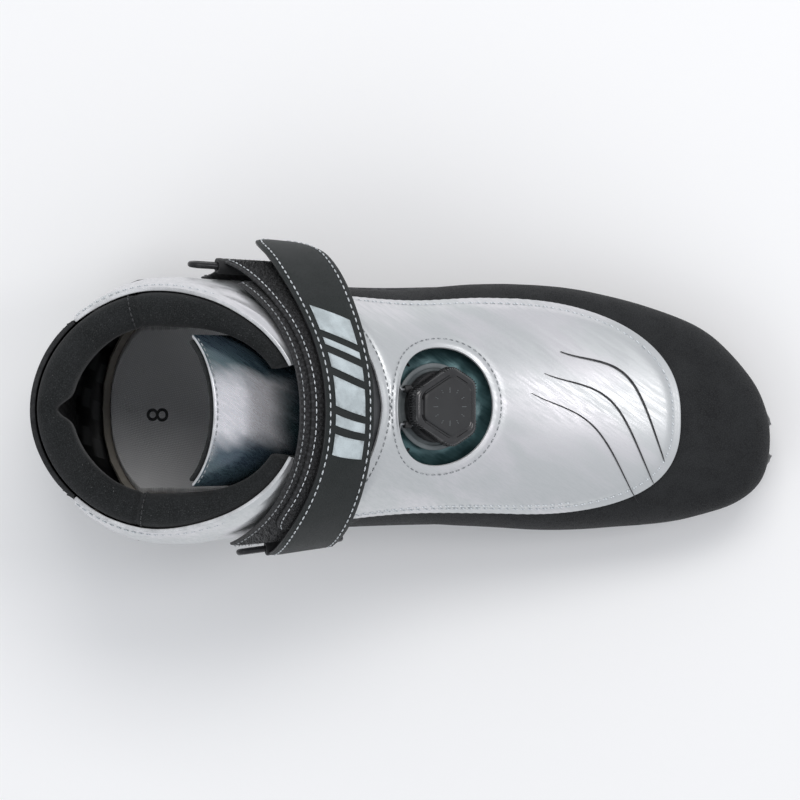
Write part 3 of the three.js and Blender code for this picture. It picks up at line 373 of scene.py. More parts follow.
def layer(name, rows, cols, at, low, high, materials, keep=None, loop=False, edge_width=0.3):
    """A layer of the last: at(s, t) gives its places, low and high are offsets or functions of the place."""
    s, t = grid_places(rows, cols, loop)
    u, v = np.broadcast_arrays(*at(s, t))
    faces = grid_faces(rows, cols, loop)
    if keep is not None:
        faces = [f for f in faces if keep(u[list(f)].mean(), v[list(f)].mean())]
    top = skin(u, v, high(u, v) if callable(high) else np.full(u.shape, float(high)))
    under = skin(u, v, low(u, v) if callable(low) else np.full(u.shape, float(low)))
    used = sorted({i for f in faces for i in f})
    number = {old: new for new, old in enumerate(used)}
    faces = [tuple(number[i] for i in f) for f in faces]
    return between(name, top[used], under[used], faces, materials, cloth_place(u, v)[used], edge_width)


def tube(name, path, radius, sides, material, closed=False, profile=None, up=(0, 0, 1)):
    """A round bar or cord along a path of points; profile(k, angle) scales its radius."""
    path = np.asarray(path, float)
    count = len(path)
    ahead = np.roll(path, -1, 0) - np.roll(path, 1, 0) if closed else np.gradient(path, axis=0)
    ahead /= np.linalg.norm(ahead, axis=1, keepdims=True)
    side = np.cross(ahead[0], up)
    frames = []
    for k in range(count):
        side = side - ahead[k] * np.dot(side, ahead[k])
        side /= np.linalg.norm(side)
        frames.append((side.copy(), np.cross(ahead[k], side)))
    if closed:
        side, over = frames[0]
        last = frames[-1][0]
        twist = math.atan2(np.dot(last, over), np.dot(last, side))
    points, uv = [], []
    for k in range(count):
        turn = -twist * k / count if closed else 0.0
        for j in range(sides):
            angle = 2 * math.pi * j / sides
            reach = radius * (profile(k, angle) if profile else 1.0)
            a, b = frames[k]
            points.append(path[k] + reach * (a * math.cos(angle + turn) + b * math.sin(angle + turn)))
            uv.append((k / count, j / sides))
    faces = []
    for k in range(count if closed else count - 1):
        for j in range(sides):
            n, m = (k + 1) % count, (j + 1) % sides
            faces.append((k * sides + j, k * sides + m, n * sides + m, n * sides + j))
    if not closed:
        faces.append(tuple(range(sides))[::-1])
        faces.append(tuple((count - 1) * sides + j for j in range(sides)))
    return make(name, points, faces, [material], uv)


def turned(name, corners, sides, materials, to_world, wave=None, bevel=0.2):
    """A turned piece round the local Z axis, from [radius, z] corners.

    wave(radius, z, angle) moves the radius.
    """
    points = []
    for k in range(sides):
        angle = 2 * math.pi * k / sides
        for radius, z in corners:
            reach = radius + (wave(radius, z, angle) if wave else 0.0)
            points.append((reach * math.cos(angle), reach * math.sin(angle), z))
    n = len(corners)
    faces = []
    for k in range(sides):
        m = (k + 1) % sides
        for j in range(n):
            i = (j + 1) % n
            ring = (k * n + j, m * n + j, m * n + i, k * n + i)
            faces.append(ring)
    obj = righted(make(name, to_world(np.array(points)), faces, materials))
    return softened(obj, bevel, 2, 35) if bevel else obj


def spline(points, count):
    """Points of a centripetal curve through the given ones, count for each span."""
    points = np.asarray(points, float)
    full = np.vstack([2 * points[0] - points[1], points, 2 * points[-1] - points[-2]])
    found = []
    for k in range(len(points) - 1):
        p0, p1, p2, p3 = full[k : k + 4]
        d0, d1, d2 = (max(np.linalg.norm(b - a) ** 0.5, 1e-4) for a, b in ((p0, p1), (p1, p2), (p2, p3)))
        m1 = d1 * ((p1 - p0) / d0 - (p2 - p0) / (d0 + d1) + (p2 - p1) / d1)
        m2 = d1 * ((p2 - p1) / d1 - (p3 - p1) / (d1 + d2) + (p3 - p2) / d2)
        for t in np.arange(count) / count:
            found.append(p1 + t * (m1 + t
                                   * (-3 * p1 + 3 * p2 - 2 * m1 - m2 + t * (2 * p1 - 2 * p2 + m1 + m2))))
    found.append(points[-1])
    return np.array(found)


def evened(path, step):
    """The same path with points an even step apart."""
    path = np.asarray(path, float)
    length = np.concatenate([[0], np.cumsum(np.linalg.norm(np.diff(path, axis=0), axis=1))])
    count = max(2, int(round(length[-1] / step)))
    even = np.linspace(0, length[-1], count + 1)
    return np.stack([np.interp(even, length, path[:, k]) for k in range(path.shape[1])], 1)


def ripples(points, size, depth, seed):
    """A gentle unevenness of hand-lasted leather, one value a point."""
    shift = Vector((seed * 7.3, seed * 3.1, seed * 1.7))
    return np.array([depth * noise.noise(Vector(p) / size + shift) for p in points])


# ------------------------------------------------------------------ shared shader effects
class Sheet:
    """A node tree being drawn: add nodes, set their sockets and join them."""

    def __init__(self, tree):
        self.tree = tree

    def add(self, kind, settings=None, **sockets):
        node = self.tree.nodes.new(kind)
        for key, value in (settings or {}).items():
            setattr(node, key, value)
        for key, value in sockets.items():
            numbered = key[0] == "i" and key[1:].isdigit()
            socket = node.inputs[int(key[1:]) if numbered else key.replace("_", " ")]
            self.feed(socket, value)
        return node

    def feed(self, socket, value):
        if isinstance(value, bpy.types.NodeSocket):
            self.tree.links.new(value, socket)
        elif isinstance(value, bpy.types.Node):
            self.tree.links.new(value.outputs[0], socket)
        else:
            socket.default_value = value

    def math(self, operation, a, b=0.0, clamp=False):
        return self.add("ShaderNodeMath", {"operation": operation, "use_clamp": clamp}, i0=a,
                        i1=b).outputs[0]

    def ramp(self, value, low, high, out_low=0.0, out_high=1.0):
        settings = {"interpolation_type": "SMOOTHSTEP"}
        return self.add("ShaderNodeMapRange", settings, i0=value, i1=low, i2=high, i3=out_low,
                        i4=out_high).outputs[0]

    def colours(self, share, a, b):
        mix = self.add("ShaderNodeMix", {"data_type": "RGBA"})
        self.feed(mix.inputs[0], share)
        self.feed(mix.inputs[6], a)
        self.feed(mix.inputs[7], b)
        return mix.outputs[2]

    def noise(self, vector, scale, detail=3.0, rough=0.5, warp=0.0):
        node = self.add("ShaderNodeTexNoise", None, Vector=vector, Scale=scale, Detail=detail,
                        Roughness=rough, Distortion=warp)
        return node.outputs["Fac"]

    def mapped(self, vector, turn=(0, 0, 0), scale=(1, 1, 1)):
        return self.add("ShaderNodeMapping", None, Vector=vector, Rotation=turn, Scale=scale).outputs[0]


def effect(name, inputs, outputs):
    tree = bpy.data.node_groups.new(name, "ShaderNodeTree")
    for label, kind, value in inputs:
        socket = tree.interface.new_socket(label, in_out="INPUT", socket_type=kind)
        if value is not None:
            socket.default_value = value
    for label, kind in outputs:
        tree.interface.new_socket(label, in_out="OUTPUT", socket_type=kind)
    sheet = Sheet(tree)
    return sheet, sheet.add("NodeGroupInput").outputs, sheet.add("NodeGroupOutput").inputs


FLOAT, VECTOR = "NodeSocketFloat", "NodeSocketVector"


def brushed_effect():
    """Fine streaks all one way, as brushed into a pearl coating, with broad drifting patches."""
    sheet, given, out = effect(
        "brushed streaks",
        [("Vector", VECTOR, None), ("Scale", FLOAT, 1.0), ("Turn", VECTOR, (0, 0, 0.6))],
        [("Streaks", FLOAT), ("Drift", FLOAT)],
    )
    turned_to = sheet.add("ShaderNodeMapping", None, Vector=given["Vector"],
                          Rotation=given["Turn"]).outputs[0]
    sized = sheet.add("ShaderNodeVectorMath", {"operation": "SCALE"}, i0=turned_to,
                      Scale=given["Scale"]).outputs[0]
    long = sheet.mapped(sized, scale=(55.0, 900.0, 300.0))
    longer = sheet.mapped(sized, scale=(20.0, 2200.0, 700.0))
    fine = sheet.noise(long, 1.0, 3.0, 0.6)
    finer = sheet.noise(longer, 1.0, 2.0, 0.6)
    both = sheet.math("ADD", sheet.math("MULTIPLY", fine, 0.6), sheet.math("MULTIPLY", finer, 0.4))
    sheet.feed(out["Streaks"], sheet.ramp(both, 0.32, 0.68))
    drift = sheet.noise(sheet.mapped(sized, scale=(14.0, 42.0, 26.0)), 1.0, 3.0, 0.55, 0.4)
    sheet.feed(out["Drift"], sheet.ramp(drift, 0.3, 0.7))
    return sheet.tree


def grain_effect():
    """Pebbled leather grain: small rounded cells with creases between them."""
    sheet, given, out = effect(
        "leather grain",
        [("Vector", VECTOR, None), ("Cells", FLOAT, 900.0)],
        [("Height", FLOAT), ("Creases", FLOAT)],
    )
    bent = sheet.noise(given["Vector"], 220.0, 2.0)
    shift = sheet.add("ShaderNodeVectorMath", {"operation": "SCALE"}, i0=bent, Scale=0.0012).outputs[0]
    moved = sheet.add("ShaderNodeVectorMath", {"operation": "ADD"}, i0=given["Vector"], i1=shift).outputs[0]
    cells = sheet.add("ShaderNodeTexVoronoi", {"feature": "DISTANCE_TO_EDGE"}, Vector=moved,
                      Scale=given["Cells"])
    crease = sheet.ramp(cells.outputs["Distance"], 0.0, 0.22)
    mottle = sheet.noise(given["Vector"], 1500.0, 3.0)
    height = sheet.math("ADD", sheet.math("MULTIPLY", crease, 0.7), sheet.math("MULTIPLY", mottle, 0.3))
    sheet.feed(out["Height"], height)
    sheet.feed(out["Creases"], sheet.math("SUBTRACT", 1.0, crease))
    return sheet.tree


def weave_effect():
    """Over and under threads on a flat map; slope 0 is a plain weave, 1 a twill."""
    sheet, given, out = effect(
        "weave",
        [("Vector", VECTOR, None), ("Threads", FLOAT, 60.0), ("Slope", FLOAT, 0.0)],
        [("Height", FLOAT), ("Warp", FLOAT)],
    )
    sized = sheet.add("ShaderNodeVectorMath", {"operation": "SCALE"}, i0=given["Vector"],
                      Scale=given["Threads"])
    parts = sheet.add("ShaderNodeSeparateXYZ", None, i0=sized.outputs[0]).outputs
    x, y = parts["X"], parts["Y"]
    cell_x, cell_y = sheet.math("FLOOR", x), sheet.math("FLOOR", y)
    plain = sheet.math("PINGPONG", sheet.math("ADD", cell_x, cell_y), 1.0)
    steps = sheet.math("FLOORED_MODULO", sheet.math("ADD", cell_x, cell_y), 4.0)
    twill = sheet.math("LESS_THAN", steps, 2.0)
    over = sheet.math("ADD", sheet.math("MULTIPLY", plain, sheet.math("SUBTRACT", 1.0, given["Slope"])),
                      sheet.math("MULTIPLY", twill, given["Slope"]))
    round_x = sheet.math("SINE", sheet.math("MULTIPLY", sheet.math("FRACT", x), math.pi))
    round_y = sheet.math("SINE", sheet.math("MULTIPLY", sheet.math("FRACT", y), math.pi))
    warp = sheet.math("MULTIPLY", round_x, over)
    weft = sheet.math("MULTIPLY", round_y, sheet.math("SUBTRACT", 1.0, over))
    sheet.feed(out["Height"], sheet.math("ADD", warp, weft))
    sheet.feed(out["Warp"], over)
    return sheet.tree


def lint_effect():
    """Pale specks and short hairs that a dark nap picks up."""
    sheet, given, out = effect(
        "lint",
        [("Vector", VECTOR, None), ("Amount", FLOAT, 0.2), ("Scale", FLOAT, 1400.0)],
        [("Specks", FLOAT), ("Nap", FLOAT)],
    )
    specks = sheet.noise(given["Vector"], given["Scale"], 2.0, 0.7)
    hairs = sheet.noise(sheet.mapped(given["Vector"], (0.3, 0.5, 0.8), (500.0, 2600.0, 900.0)), 1.0, 2.0,
                        0.6)
    limit = sheet.math("SUBTRACT", 0.78, sheet.math("MULTIPLY", given["Amount"], 0.3))
    low = sheet.math("SUBTRACT", specks, limit)
    fine = sheet.math("MULTIPLY", low, 9.0, True)
    hair = sheet.math("MULTIPLY", sheet.math("SUBTRACT", hairs, sheet.math("ADD", limit, 0.02)), 7.0, True)
    sheet.feed(out["Specks"], sheet.math("MAXIMUM", fine, hair))
    patches = sheet.noise(given["Vector"], 90.0, 4.0, 0.6)
    sheet.feed(out["Nap"], sheet.ramp(patches, 0.3, 0.7))
    return sheet.tree


def wear_effect():
    """Where rubbing shows: raised edges from the mesh's own pointiness, broken up by noise."""
    sheet, given, out = effect(
        "edge wear",
        [("Vector", VECTOR, None), ("Pointiness", FLOAT, 0.5), ("Amount", FLOAT, 0.5)],
        [("Worn", FLOAT)],
    )
    edge = sheet.ramp(given["Pointiness"], 0.51, 0.6)
    broken = sheet.ramp(sheet.noise(given["Vector"], 380.0, 5.0, 0.65), 0.35, 0.7)
    sheet.feed(out["Worn"], sheet.math("MULTIPLY", sheet.math("MULTIPLY", edge, broken), given["Amount"]))
    return sheet.tree


BRUSHED = brushed_effect()
GRAIN = grain_effect()
WEAVE = weave_effect()
LINT = lint_effect()
WEAR = wear_effect()


class Finish(Sheet):
    """A material with one Principled shader."""

    def __init__(self, name, **plain):
        self.material = bpy.data.materials.new(name)
        self.material.use_nodes = True
        super().__init__(self.material.node_tree)
        self.shader = self.tree.nodes["Principled BSDF"]
        for key, value in plain.items():
            self.shader.inputs[key.replace("_", " ")].default_value = value
        place = self.add("ShaderNodeTexCoord").outputs
        self.solid = place["Object"]
        self.flat = place["UV"]

    def effect(self, tree, **sockets):
        group = self.add("ShaderNodeGroup", {"node_tree": tree})
        for key, value in sockets.items():
            self.feed(group.inputs[key], value)
        return group.outputs

    def drive(self, **sockets):
        for key, value in sockets.items():
            self.feed(self.shader.inputs[key.replace("_", " ")], value)

    def bump(self, height, strength=0.3, distance=0.0002):
        node = self.add("ShaderNodeBump", None, Strength=strength, Distance=distance)
        self.feed(node.inputs["Height"], height)
        self.feed(self.shader.inputs["Normal"], node.outputs[0])

    def worn(self, amount):
        pointed = self.add("ShaderNodeNewGeometry").outputs["Pointiness"]
        return self.effect(WEAR, Vector=self.solid, Pointiness=pointed, Amount=amount)["Worn"]


# ------------------------------------------------------------------ finishes
def pearl_leather(name, light, shade, deep, drift_low=0.25, drift_high=0.85, metallic=0.62, rough=0.3,
                  scale=1.0):
    """Coated leather with a pearl sheen: diagonal brush marks and slow drifts of tone."""
    f = Finish(name, Metallic=metallic, Coat_Weight=0.25, Coat_Roughness=0.22)
    brushed = f.effect(BRUSHED, Vector=f.solid, Scale=scale)
    grain = f.effect(GRAIN, Vector=f.solid, Cells=1100.0)
    tone = f.ramp(brushed["Drift"], drift_low, drift_high)
    base = f.colours(tone, shade, light)
    streaky = f.colours(f.math("MULTIPLY", brushed["Streaks"], 0.34), base, deep)
    worn = f.colours(f.worn(0.2), streaky, (0.82, 0.83, 0.84, 1))
    f.drive(Base_Color=worn)
    f.drive(Roughness=f.ramp(brushed["Streaks"], 0.0, 1.0, rough - 0.05, rough + 0.12))
    height = f.math("ADD", f.math("MULTIPLY", grain["Height"], 0.5),
                    f.math("MULTIPLY", brushed["Streaks"], 0.6))
    f.bump(height, 0.10, 0.0001)
    return f.material


def tongue_leather():
    """The same pearl leather in a bend, with painted light: a painted highlight pale along its crown, painted
    shade in sea blue toward the sides and foot.
    """
    f = Finish("tongue_pearl_painted_light", Metallic=0.66, Coat_Weight=0.35, Coat_Roughness=0.16)
    brushed = f.effect(BRUSHED, Vector=f.solid, Scale=1.2)
    parts = f.add("ShaderNodeSeparateXYZ", None, i0=f.flat).outputs
    wavy = f.math("MULTIPLY", f.math("SUBTRACT", brushed["Drift"], 0.5), 0.16)
    # painted light: the crown stays pale as a painted highlight, while the sides and the foot take painted
    # shade
    off_crown = f.math("ABSOLUTE", f.math("SUBTRACT", parts["Y"], 0.47))
    side = f.ramp(f.math("ADD", off_crown, wavy), 0.08, 0.27)
    foot = f.ramp(f.math("ADD", parts["X"], f.math("MULTIPLY", wavy, 0.35)), 0.69, 0.55)
    dark = f.math("MAXIMUM", side, foot)
    # sea blue painted shade for the sides and foot, pale painted highlight for the crown
    sides = f.colours(brushed["Drift"], (0.028, 0.062, 0.07, 1), (0.04, 0.062, 0.095, 1))
    crown = f.colours(brushed["Drift"], (0.80, 0.78, 0.81, 1), (0.92, 0.9, 0.93, 1))
    base = f.colours(dark, crown, sides)
    streaky = f.colours(f.math("MULTIPLY", brushed["Streaks"], 0.26), base, (0.2, 0.3, 0.33, 1))
    f.drive(Base_Color=streaky)
    f.drive(Roughness=f.ramp(brushed["Streaks"], 0.0, 1.0, 0.22, 0.36))
    f.bump(brushed["Streaks"], 0.07, 0.0001)
    return f.material


def matte_leather(name, dark, pale, rough=0.62, cells=1300.0):
    """Matte coated microfibre with a close grain and slight chalky patches."""
    f = Finish(name, Specular_IOR_Level=0.13)
    grain = f.effect(GRAIN, Vector=f.solid, Cells=cells)
    lint = f.effect(LINT, Vector=f.solid, Amount=0.12, Scale=1800.0)
    base = f.colours(f.math("MULTIPLY", grain["Creases"], 0.6), pale, dark)
    patchy = f.colours(f.math("MULTIPLY", lint["Nap"], 0.35), base, (0.035, 0.037, 0.038, 1))
    worn = f.colours(f.worn(0.6), patchy, (0.11, 0.11, 0.11, 1))
    speckled = f.colours(f.math("MULTIPLY", lint["Specks"], 0.25), worn, (0.16, 0.16, 0.16, 1))
    f.drive(Base_Color=speckled)
    f.drive(Roughness=f.ramp(grain["Height"], 0.2, 0.9, rough + 0.1, rough - 0.06))
    f.bump(grain["Height"], 0.3, 0.00015)
    return f.material


def napped(name, dark, pale, amount, sheen=0.35):
    """Brushed microfibre or loop pile: a soft sheen, drifting nap and picked-up specks."""
    f = Finish(name, Sheen_Weight=sheen, Sheen_Roughness=0.5, Specular_IOR_Level=0.15)
    lint = f.effect(LINT, Vector=f.solid, Amount=amount, Scale=1500.0)
    base = f.colours(lint["Nap"], dark, pale)
    fine = f.noise(f.solid, 2600.0, 2.0, 0.6)
    rubbed = f.colours(f.ramp(fine, 0.4, 0.75, 0.0, 0.6), base, (0.045, 0.048, 0.05, 1))
    f.drive(Base_Color=f.colours(f.math("MULTIPLY", lint["Specks"], 0.5), rubbed, (0.3, 0.3, 0.3, 1)))
    f.drive(Roughness=f.ramp(lint["Nap"], 0.0, 1.0, 0.86, 0.98))
    f.bump(f.math("ADD", fine, f.math("MULTIPLY", lint["Nap"], 0.5)), 0.5, 0.00025)
    return f.material


def woven(name, dark, pale, threads, slope=0.0, rough=0.8, gloss=0.0, depth=0.5):
    """Cloth or tape woven on the piece's own map."""
    f = Finish(name, Coat_Weight=gloss, Coat_Roughness=0.08, Sheen_Weight=0.0 if gloss else 0.1)
    cloth = f.effect(WEAVE, Vector=f.flat, Threads=threads, Slope=slope)
    lint = f.effect(LINT, Vector=f.solid, Amount=0.1 if gloss else 0.3, Scale=1600.0)
    base = f.colours(cloth["Warp"], dark, pale)
    shaded = f.colours(f.ramp(cloth["Height"], 0.2, 0.9), dark, base)
    f.drive(Base_Color=f.colours(f.math("MULTIPLY", lint["Specks"], 0.15 if gloss else 0.3), shaded,
                                 (0.25, 0.25, 0.25, 1)))
    f.drive(Roughness=f.ramp(cloth["Warp"], 0.0, 1.0, rough - 0.08, rough + 0.06))
    f.bump(cloth["Height"], depth, 0.0002)
    return f.material


def moulded(name, dark, pale, rough, grain=700.0, depth=0.25, wear=0.6, worn_to=(0.16, 0.16, 0.165, 1),
            gloss=0.0):
    """Moulded plastic or rubber with a fine spark-eroded texture and rubbed edges."""
    f = Finish(name, Coat_Weight=gloss, Coat_Roughness=0.12)
    texture = f.noise(f.solid, grain, 4.0, 0.65)
    broad = f.noise(f.solid, 60.0, 4.0, 0.6)
    base = f.colours(f.ramp(broad, 0.3, 0.7), dark, pale)
    f.drive(Base_Color=f.colours(f.worn(wear), base, worn_to))
    f.drive(Roughness=f.ramp(broad, 0.3, 0.7, rough - 0.07, rough + 0.1))
    f.bump(texture, depth, 0.00015)
    return f.material


def metal(name, colour, rough, metallic=1.0, turn=(0, 0, 0)):
    """Drawn or turned metal with fine scratches."""
    f = Finish(name, Metallic=metallic)
    brushed = f.effect(BRUSHED, Vector=f.solid, Scale=1.6, Turn=turn)
    darker = tuple(0.6 * c for c in colour[:3]) + (1,)
    f.drive(Base_Color=f.colours(f.math("MULTIPLY", brushed["Streaks"], 0.6), colour, darker))
    f.drive(Roughness=f.ramp(brushed["Streaks"], 0.0, 1.0, rough - 0.05, rough + 0.14))
    f.bump(brushed["Streaks"], 0.12, 0.00008)
    return f.material


def twisted(name, dark, pale, rough=0.7):
    """Thread or cord whose strands run round the piece's own map."""
    f = Finish(name, Sheen_Weight=0.15)
    parts = f.add("ShaderNodeSeparateXYZ", None, i0=f.solid).outputs
    slant = f.math("ADD", f.math("MULTIPLY", parts["X"], 5200.0), f.math("MULTIPLY", parts["Y"], 4300.0))
    strands = f.math("SINE", f.math("ADD", slant, f.math("MULTIPLY", parts["Z"], 3100.0)))
    fuzz = f.noise(f.solid, 2400.0, 3.0, 0.6)
    share = f.ramp(f.math("ADD", f.math("MULTIPLY", strands, 0.3), fuzz), 0.2, 0.85)
    f.drive(Base_Color=f.colours(share, dark, pale))
    f.drive(Roughness=f.ramp(fuzz, 0.3, 0.7, rough - 0.08, rough + 0.12))
    f.bump(strands, 0.4, 0.0001)
    return f.material


SILVER = pearl_leather("silver_pearl", (0.71, 0.70, 0.72, 1), (0.62, 0.635, 0.64, 1),
                       (0.49, 0.525, 0.525, 1), metallic=0.66, rough=0.34)
# painted shade: the recess pearl leather is coloured dark sea blue for the shade it lies in under the cover
SHADED_PEARL = pearl_leather("teal_pearl_painted_shade", (0.075, 0.16, 0.17, 1), (0.03, 0.075, 0.082, 1), (0.13, 0.24, 0.25, 1),
                     metallic=0.5, rough=0.34)
TONGUE = tongue_leather()
BLACK = matte_leather("black_microfibre", (0.007, 0.007, 0.008, 1), (0.021, 0.022, 0.023, 1))
COLLAR = napped("collar_microfibre", (0.005, 0.006, 0.006, 1), (0.012, 0.013, 0.0135, 1), 0.34, 0.12)
PILE = napped("loop_pile", (0.003, 0.003, 0.0035, 1), (0.011, 0.012, 0.012, 1), 0.42, 0.14)
TAPE = woven("strap_tape", (0.006, 0.006, 0.007, 1), (0.03, 0.031, 0.033, 1), 62.0)
LINING = woven("knit_lining", (0.004, 0.004, 0.0045, 1), (0.017, 0.018, 0.019, 1), 55.0, 0.0, 0.92)
FOOTBED = woven("footbed_cloth", (0.66, 0.665, 0.675, 1), (0.84, 0.845, 0.85, 1), 180.0, 0.0, 0.85, 0.0, 0.3)
CARBON = woven("carbon_twill", (0.004, 0.004, 0.0045, 1), (0.03, 0.032, 0.034, 1), 26.0, 1.0, 0.36, 1.0,
               0.15)
STRAP_FACE = matte_leather("strap_coating", (0.012, 0.0145, 0.014, 1), (0.024, 0.028, 0.0275, 1), 0.5,
                           1900.0)
BINDING = moulded("strap_binding", (0.006, 0.006, 0.007, 1), (0.012, 0.012, 0.013, 1), 0.42, 1500.0, 0.2,
                  0.4)
CUT_EDGE = matte_leather("pale_cut_edge", (0.5, 0.51, 0.52, 1), (0.75, 0.76, 0.77, 1), 0.7, 2200.0)
THREAD = twisted("pale_thread", (0.42, 0.45, 0.47, 1), (0.75, 0.78, 0.8, 1))
SHADE_THREAD = twisted("shade_thread", (0.16, 0.17, 0.18, 1), (0.4, 0.42, 0.43, 1))
DARK_THREAD = twisted("dark_thread", (0.01, 0.01, 0.011, 1), (0.05, 0.052, 0.055, 1))
PRINT = matte_leather("pale_print", (0.48, 0.55, 0.57, 1), (0.62, 0.69, 0.71, 1), 0.5, 2400.0)
INK = matte_leather("dark_ink", (0.012, 0.012, 0.014, 1), (0.03, 0.03, 0.033, 1), 0.45, 2400.0)
FILM = moulded("gusset_film", (0.02, 0.021, 0.022, 1), (0.05, 0.052, 0.055, 1), 0.34, 500.0, 0.1, 0.2,
               gloss=0.35)
SOLE = moulded("sole_moulding", (0.009, 0.009, 0.01, 1), (0.02, 0.02, 0.021, 1), 0.55, 900.0, 0.35)
RUBBER = moulded("tread_rubber", (0.006, 0.006, 0.006, 1), (0.016, 0.016, 0.017, 1), 0.78, 700.0, 0.5)
GLOSS = moulded("dial_gloss", (0.006, 0.006, 0.0065, 1), (0.013, 0.013, 0.014, 1), 0.2, 400.0, 0.03, 0.3,
                gloss=0.5)
SATIN = moulded("dial_satin", (0.011, 0.011, 0.012, 1), (0.022, 0.023, 0.024, 1), 0.45, 1300.0, 0.2, 0.0)
GREY = moulded("dial_grey", (0.1, 0.115, 0.12, 1), (0.17, 0.19, 0.195, 1), 0.4, 900.0, 0.15, 0.4,
               (0.3, 0.32, 0.33, 1))
BOARD = moulded("pressed_board", (0.3, 0.28, 0.24, 1), (0.42, 0.39, 0.34, 1), 0.88, 500.0, 0.5, 0.2)
STEEL = metal("steel", (0.56, 0.57, 0.58, 1), 0.28)
BLACK_STEEL = metal("black_steel", (0.018, 0.018, 0.02, 1), 0.26, 0.35)
LACE = metal("laid_wire", (0.30, 0.31, 0.32, 1), 0.35, 0.85)


# ------------------------------------------------------------------ repeated things grown on paths and faces
class Growth:
    """A geometry node tree with named inputs, run on a source mesh and turned into a plain mesh."""

    def __init__(self, name, inputs):
        self.tree = bpy.data.node_groups.new(name, "GeometryNodeTree")
        self.tree.interface.new_socket("Geometry", in_out="INPUT", socket_type="NodeSocketGeometry")
        for label, kind, value in inputs:
            socket = self.tree.interface.new_socket(label, in_out="INPUT", socket_type=kind)
            if value is not None:
                socket.default_value = value
        self.tree.interface.new_socket("Geometry", in_out="OUTPUT", socket_type="NodeSocketGeometry")
        self.sheet = Sheet(self.tree)
        self.given = self.sheet.add("NodeGroupInput").outputs

    def finish(self, geometry):
        """Real faces with their finish, smooth shaded, as the tree's result."""
        real = self.sheet.add("GeometryNodeRealizeInstances", None, Geometry=geometry)
        even = self.sheet.add("GeometryNodeSetShadeSmooth", None, Geometry=real.outputs[0])
        done = self.sheet.add("GeometryNodeSetMaterial", None, Geometry=even.outputs[0],
                              Material=self.given["Material"])
        out = self.sheet.add("NodeGroupOutput")
        self.tree.links.new(done.outputs[0], out.inputs[0])
        return self

    def grow(self, name, points, edges, faces, **values):
        mesh = bpy.data.meshes.new(name + "_path")
        mesh.from_pydata(placed(points).tolist(), edges, faces)
        mesh.update()
        source = bpy.data.objects.new(name, mesh)
        bpy.context.scene.collection.objects.link(source)
        modifier = source.modifiers.new("growth", "NODES")
        modifier.node_group = self.tree
        for item in self.tree.interface.items_tree:
            if item.in_out == "INPUT" and item.name in values:
                modifier[item.identifier] = values[item.name]
        return settled(source)


def stitch_growth():
    """A row of sewn stitches: a slim bead of thread at every pitch along each path."""
    g = Growth("stitch rows", [("Pitch", FLOAT, 0.003), ("Length", FLOAT, 0.0022), ("Thread", FLOAT, 0.0003),
                               ("Material", "NodeSocketMaterial", None)])
    s = g.sheet
    curve = s.add("GeometryNodeMeshToCurve", None, Mesh=g.given["Geometry"])
    spots = s.add("GeometryNodeCurveToPoints", {"mode": "LENGTH"}, Curve=curve.outputs[0],
                  Length=g.given["Pitch"])
    bead = s.add("GeometryNodeMeshUVSphere", None, Segments=7, Rings=6, Radius=1.0)
    turn = s.add("FunctionNodeAlignRotationToVector", {"axis": "Z"}, Vector=spots.outputs["Tangent"])
    half = s.math("MULTIPLY", g.given["Length"], 0.5)
    size = s.add("ShaderNodeCombineXYZ", None, X=g.given["Thread"], Y=g.given["Thread"], Z=half)
    laid = s.add("GeometryNodeInstanceOnPoints", None, Points=spots.outputs["Points"],
                 Instance=bead.outputs[0],
                 Rotation=turn.outputs[0], Scale=size.outputs[0])
    return g.finish(laid.outputs[0])


def pile_growth():
    """A nap of short leaning fibres over a sheet of faces."""
    g = Growth("fibre nap", [("Density", FLOAT, 2.0e6), ("Fibre", FLOAT, 0.0008), ("Lean", FLOAT, 0.7),
                             ("Seed", "NodeSocketInt", 3),
                             ("Material", "NodeSocketMaterial", None)])
    s = g.sheet
    spots = s.add("GeometryNodeDistributePointsOnFaces", None, Mesh=g.given["Geometry"],
                  Density=g.given["Density"],
                  Seed=g.given["Seed"])
    fibre = s.add("GeometryNodeMeshCone", {"fill_type": "NONE"}, Vertices=3, Radius_Top=0.025,
                  Radius_Bottom=0.11, Depth=1.0)
    lean = s.add("FunctionNodeRandomValue", {"data_type": "FLOAT_VECTOR"}, Seed=g.given["Seed"])
    s.feed(lean.inputs[0], s.add("ShaderNodeCombineXYZ", None, X=s.math("MULTIPLY", g.given["Lean"], -1.0),
                                 Y=s.math("MULTIPLY", g.given["Lean"], -1.0), Z=-3.1).outputs[0])
    s.feed(lean.inputs[1], s.add("ShaderNodeCombineXYZ", None, X=g.given["Lean"], Y=g.given["Lean"],
                                 Z=3.1).outputs[0])
    turned_by = s.add("FunctionNodeRotateRotation", {"rotation_space": "LOCAL"},
                      Rotation=spots.outputs["Rotation"],
                      Rotate_By=lean.outputs[0])
    tall = s.add("FunctionNodeRandomValue", {"data_type": "FLOAT"}, Seed=g.given["Seed"])
    s.feed(tall.inputs[2], s.math("MULTIPLY", g.given["Fibre"], 0.6))
    s.feed(tall.inputs[3], s.math("MULTIPLY", g.given["Fibre"], 1.3))
    laid = s.add("GeometryNodeInstanceOnPoints", None, Points=spots.outputs["Points"],
                 Instance=fibre.outputs["Mesh"],
                 Rotation=turned_by.outputs[0], Scale=tall.outputs[1])
    return g.finish(laid.outputs[0])


STITCHES = stitch_growth()
NAP = pile_growth()


def sew(name, rows, material, body="boot", pitch=3.1, length=2.3, thread=0.34):
    """Stitch rows as one piece: each row is a path of points."""
    points, edges = [], []
    for row in rows:
        row = evened(row, 0.8)
        start = len(points)
        points.extend(row)
        edges.extend((start + k, start + k + 1) for k in range(len(row) - 1))
    obj = STITCHES.grow(name, points, edges, [], Pitch=pitch * MM, Length=length * MM, Thread=thread * MM,
                        Material=material)
    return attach(obj, body)


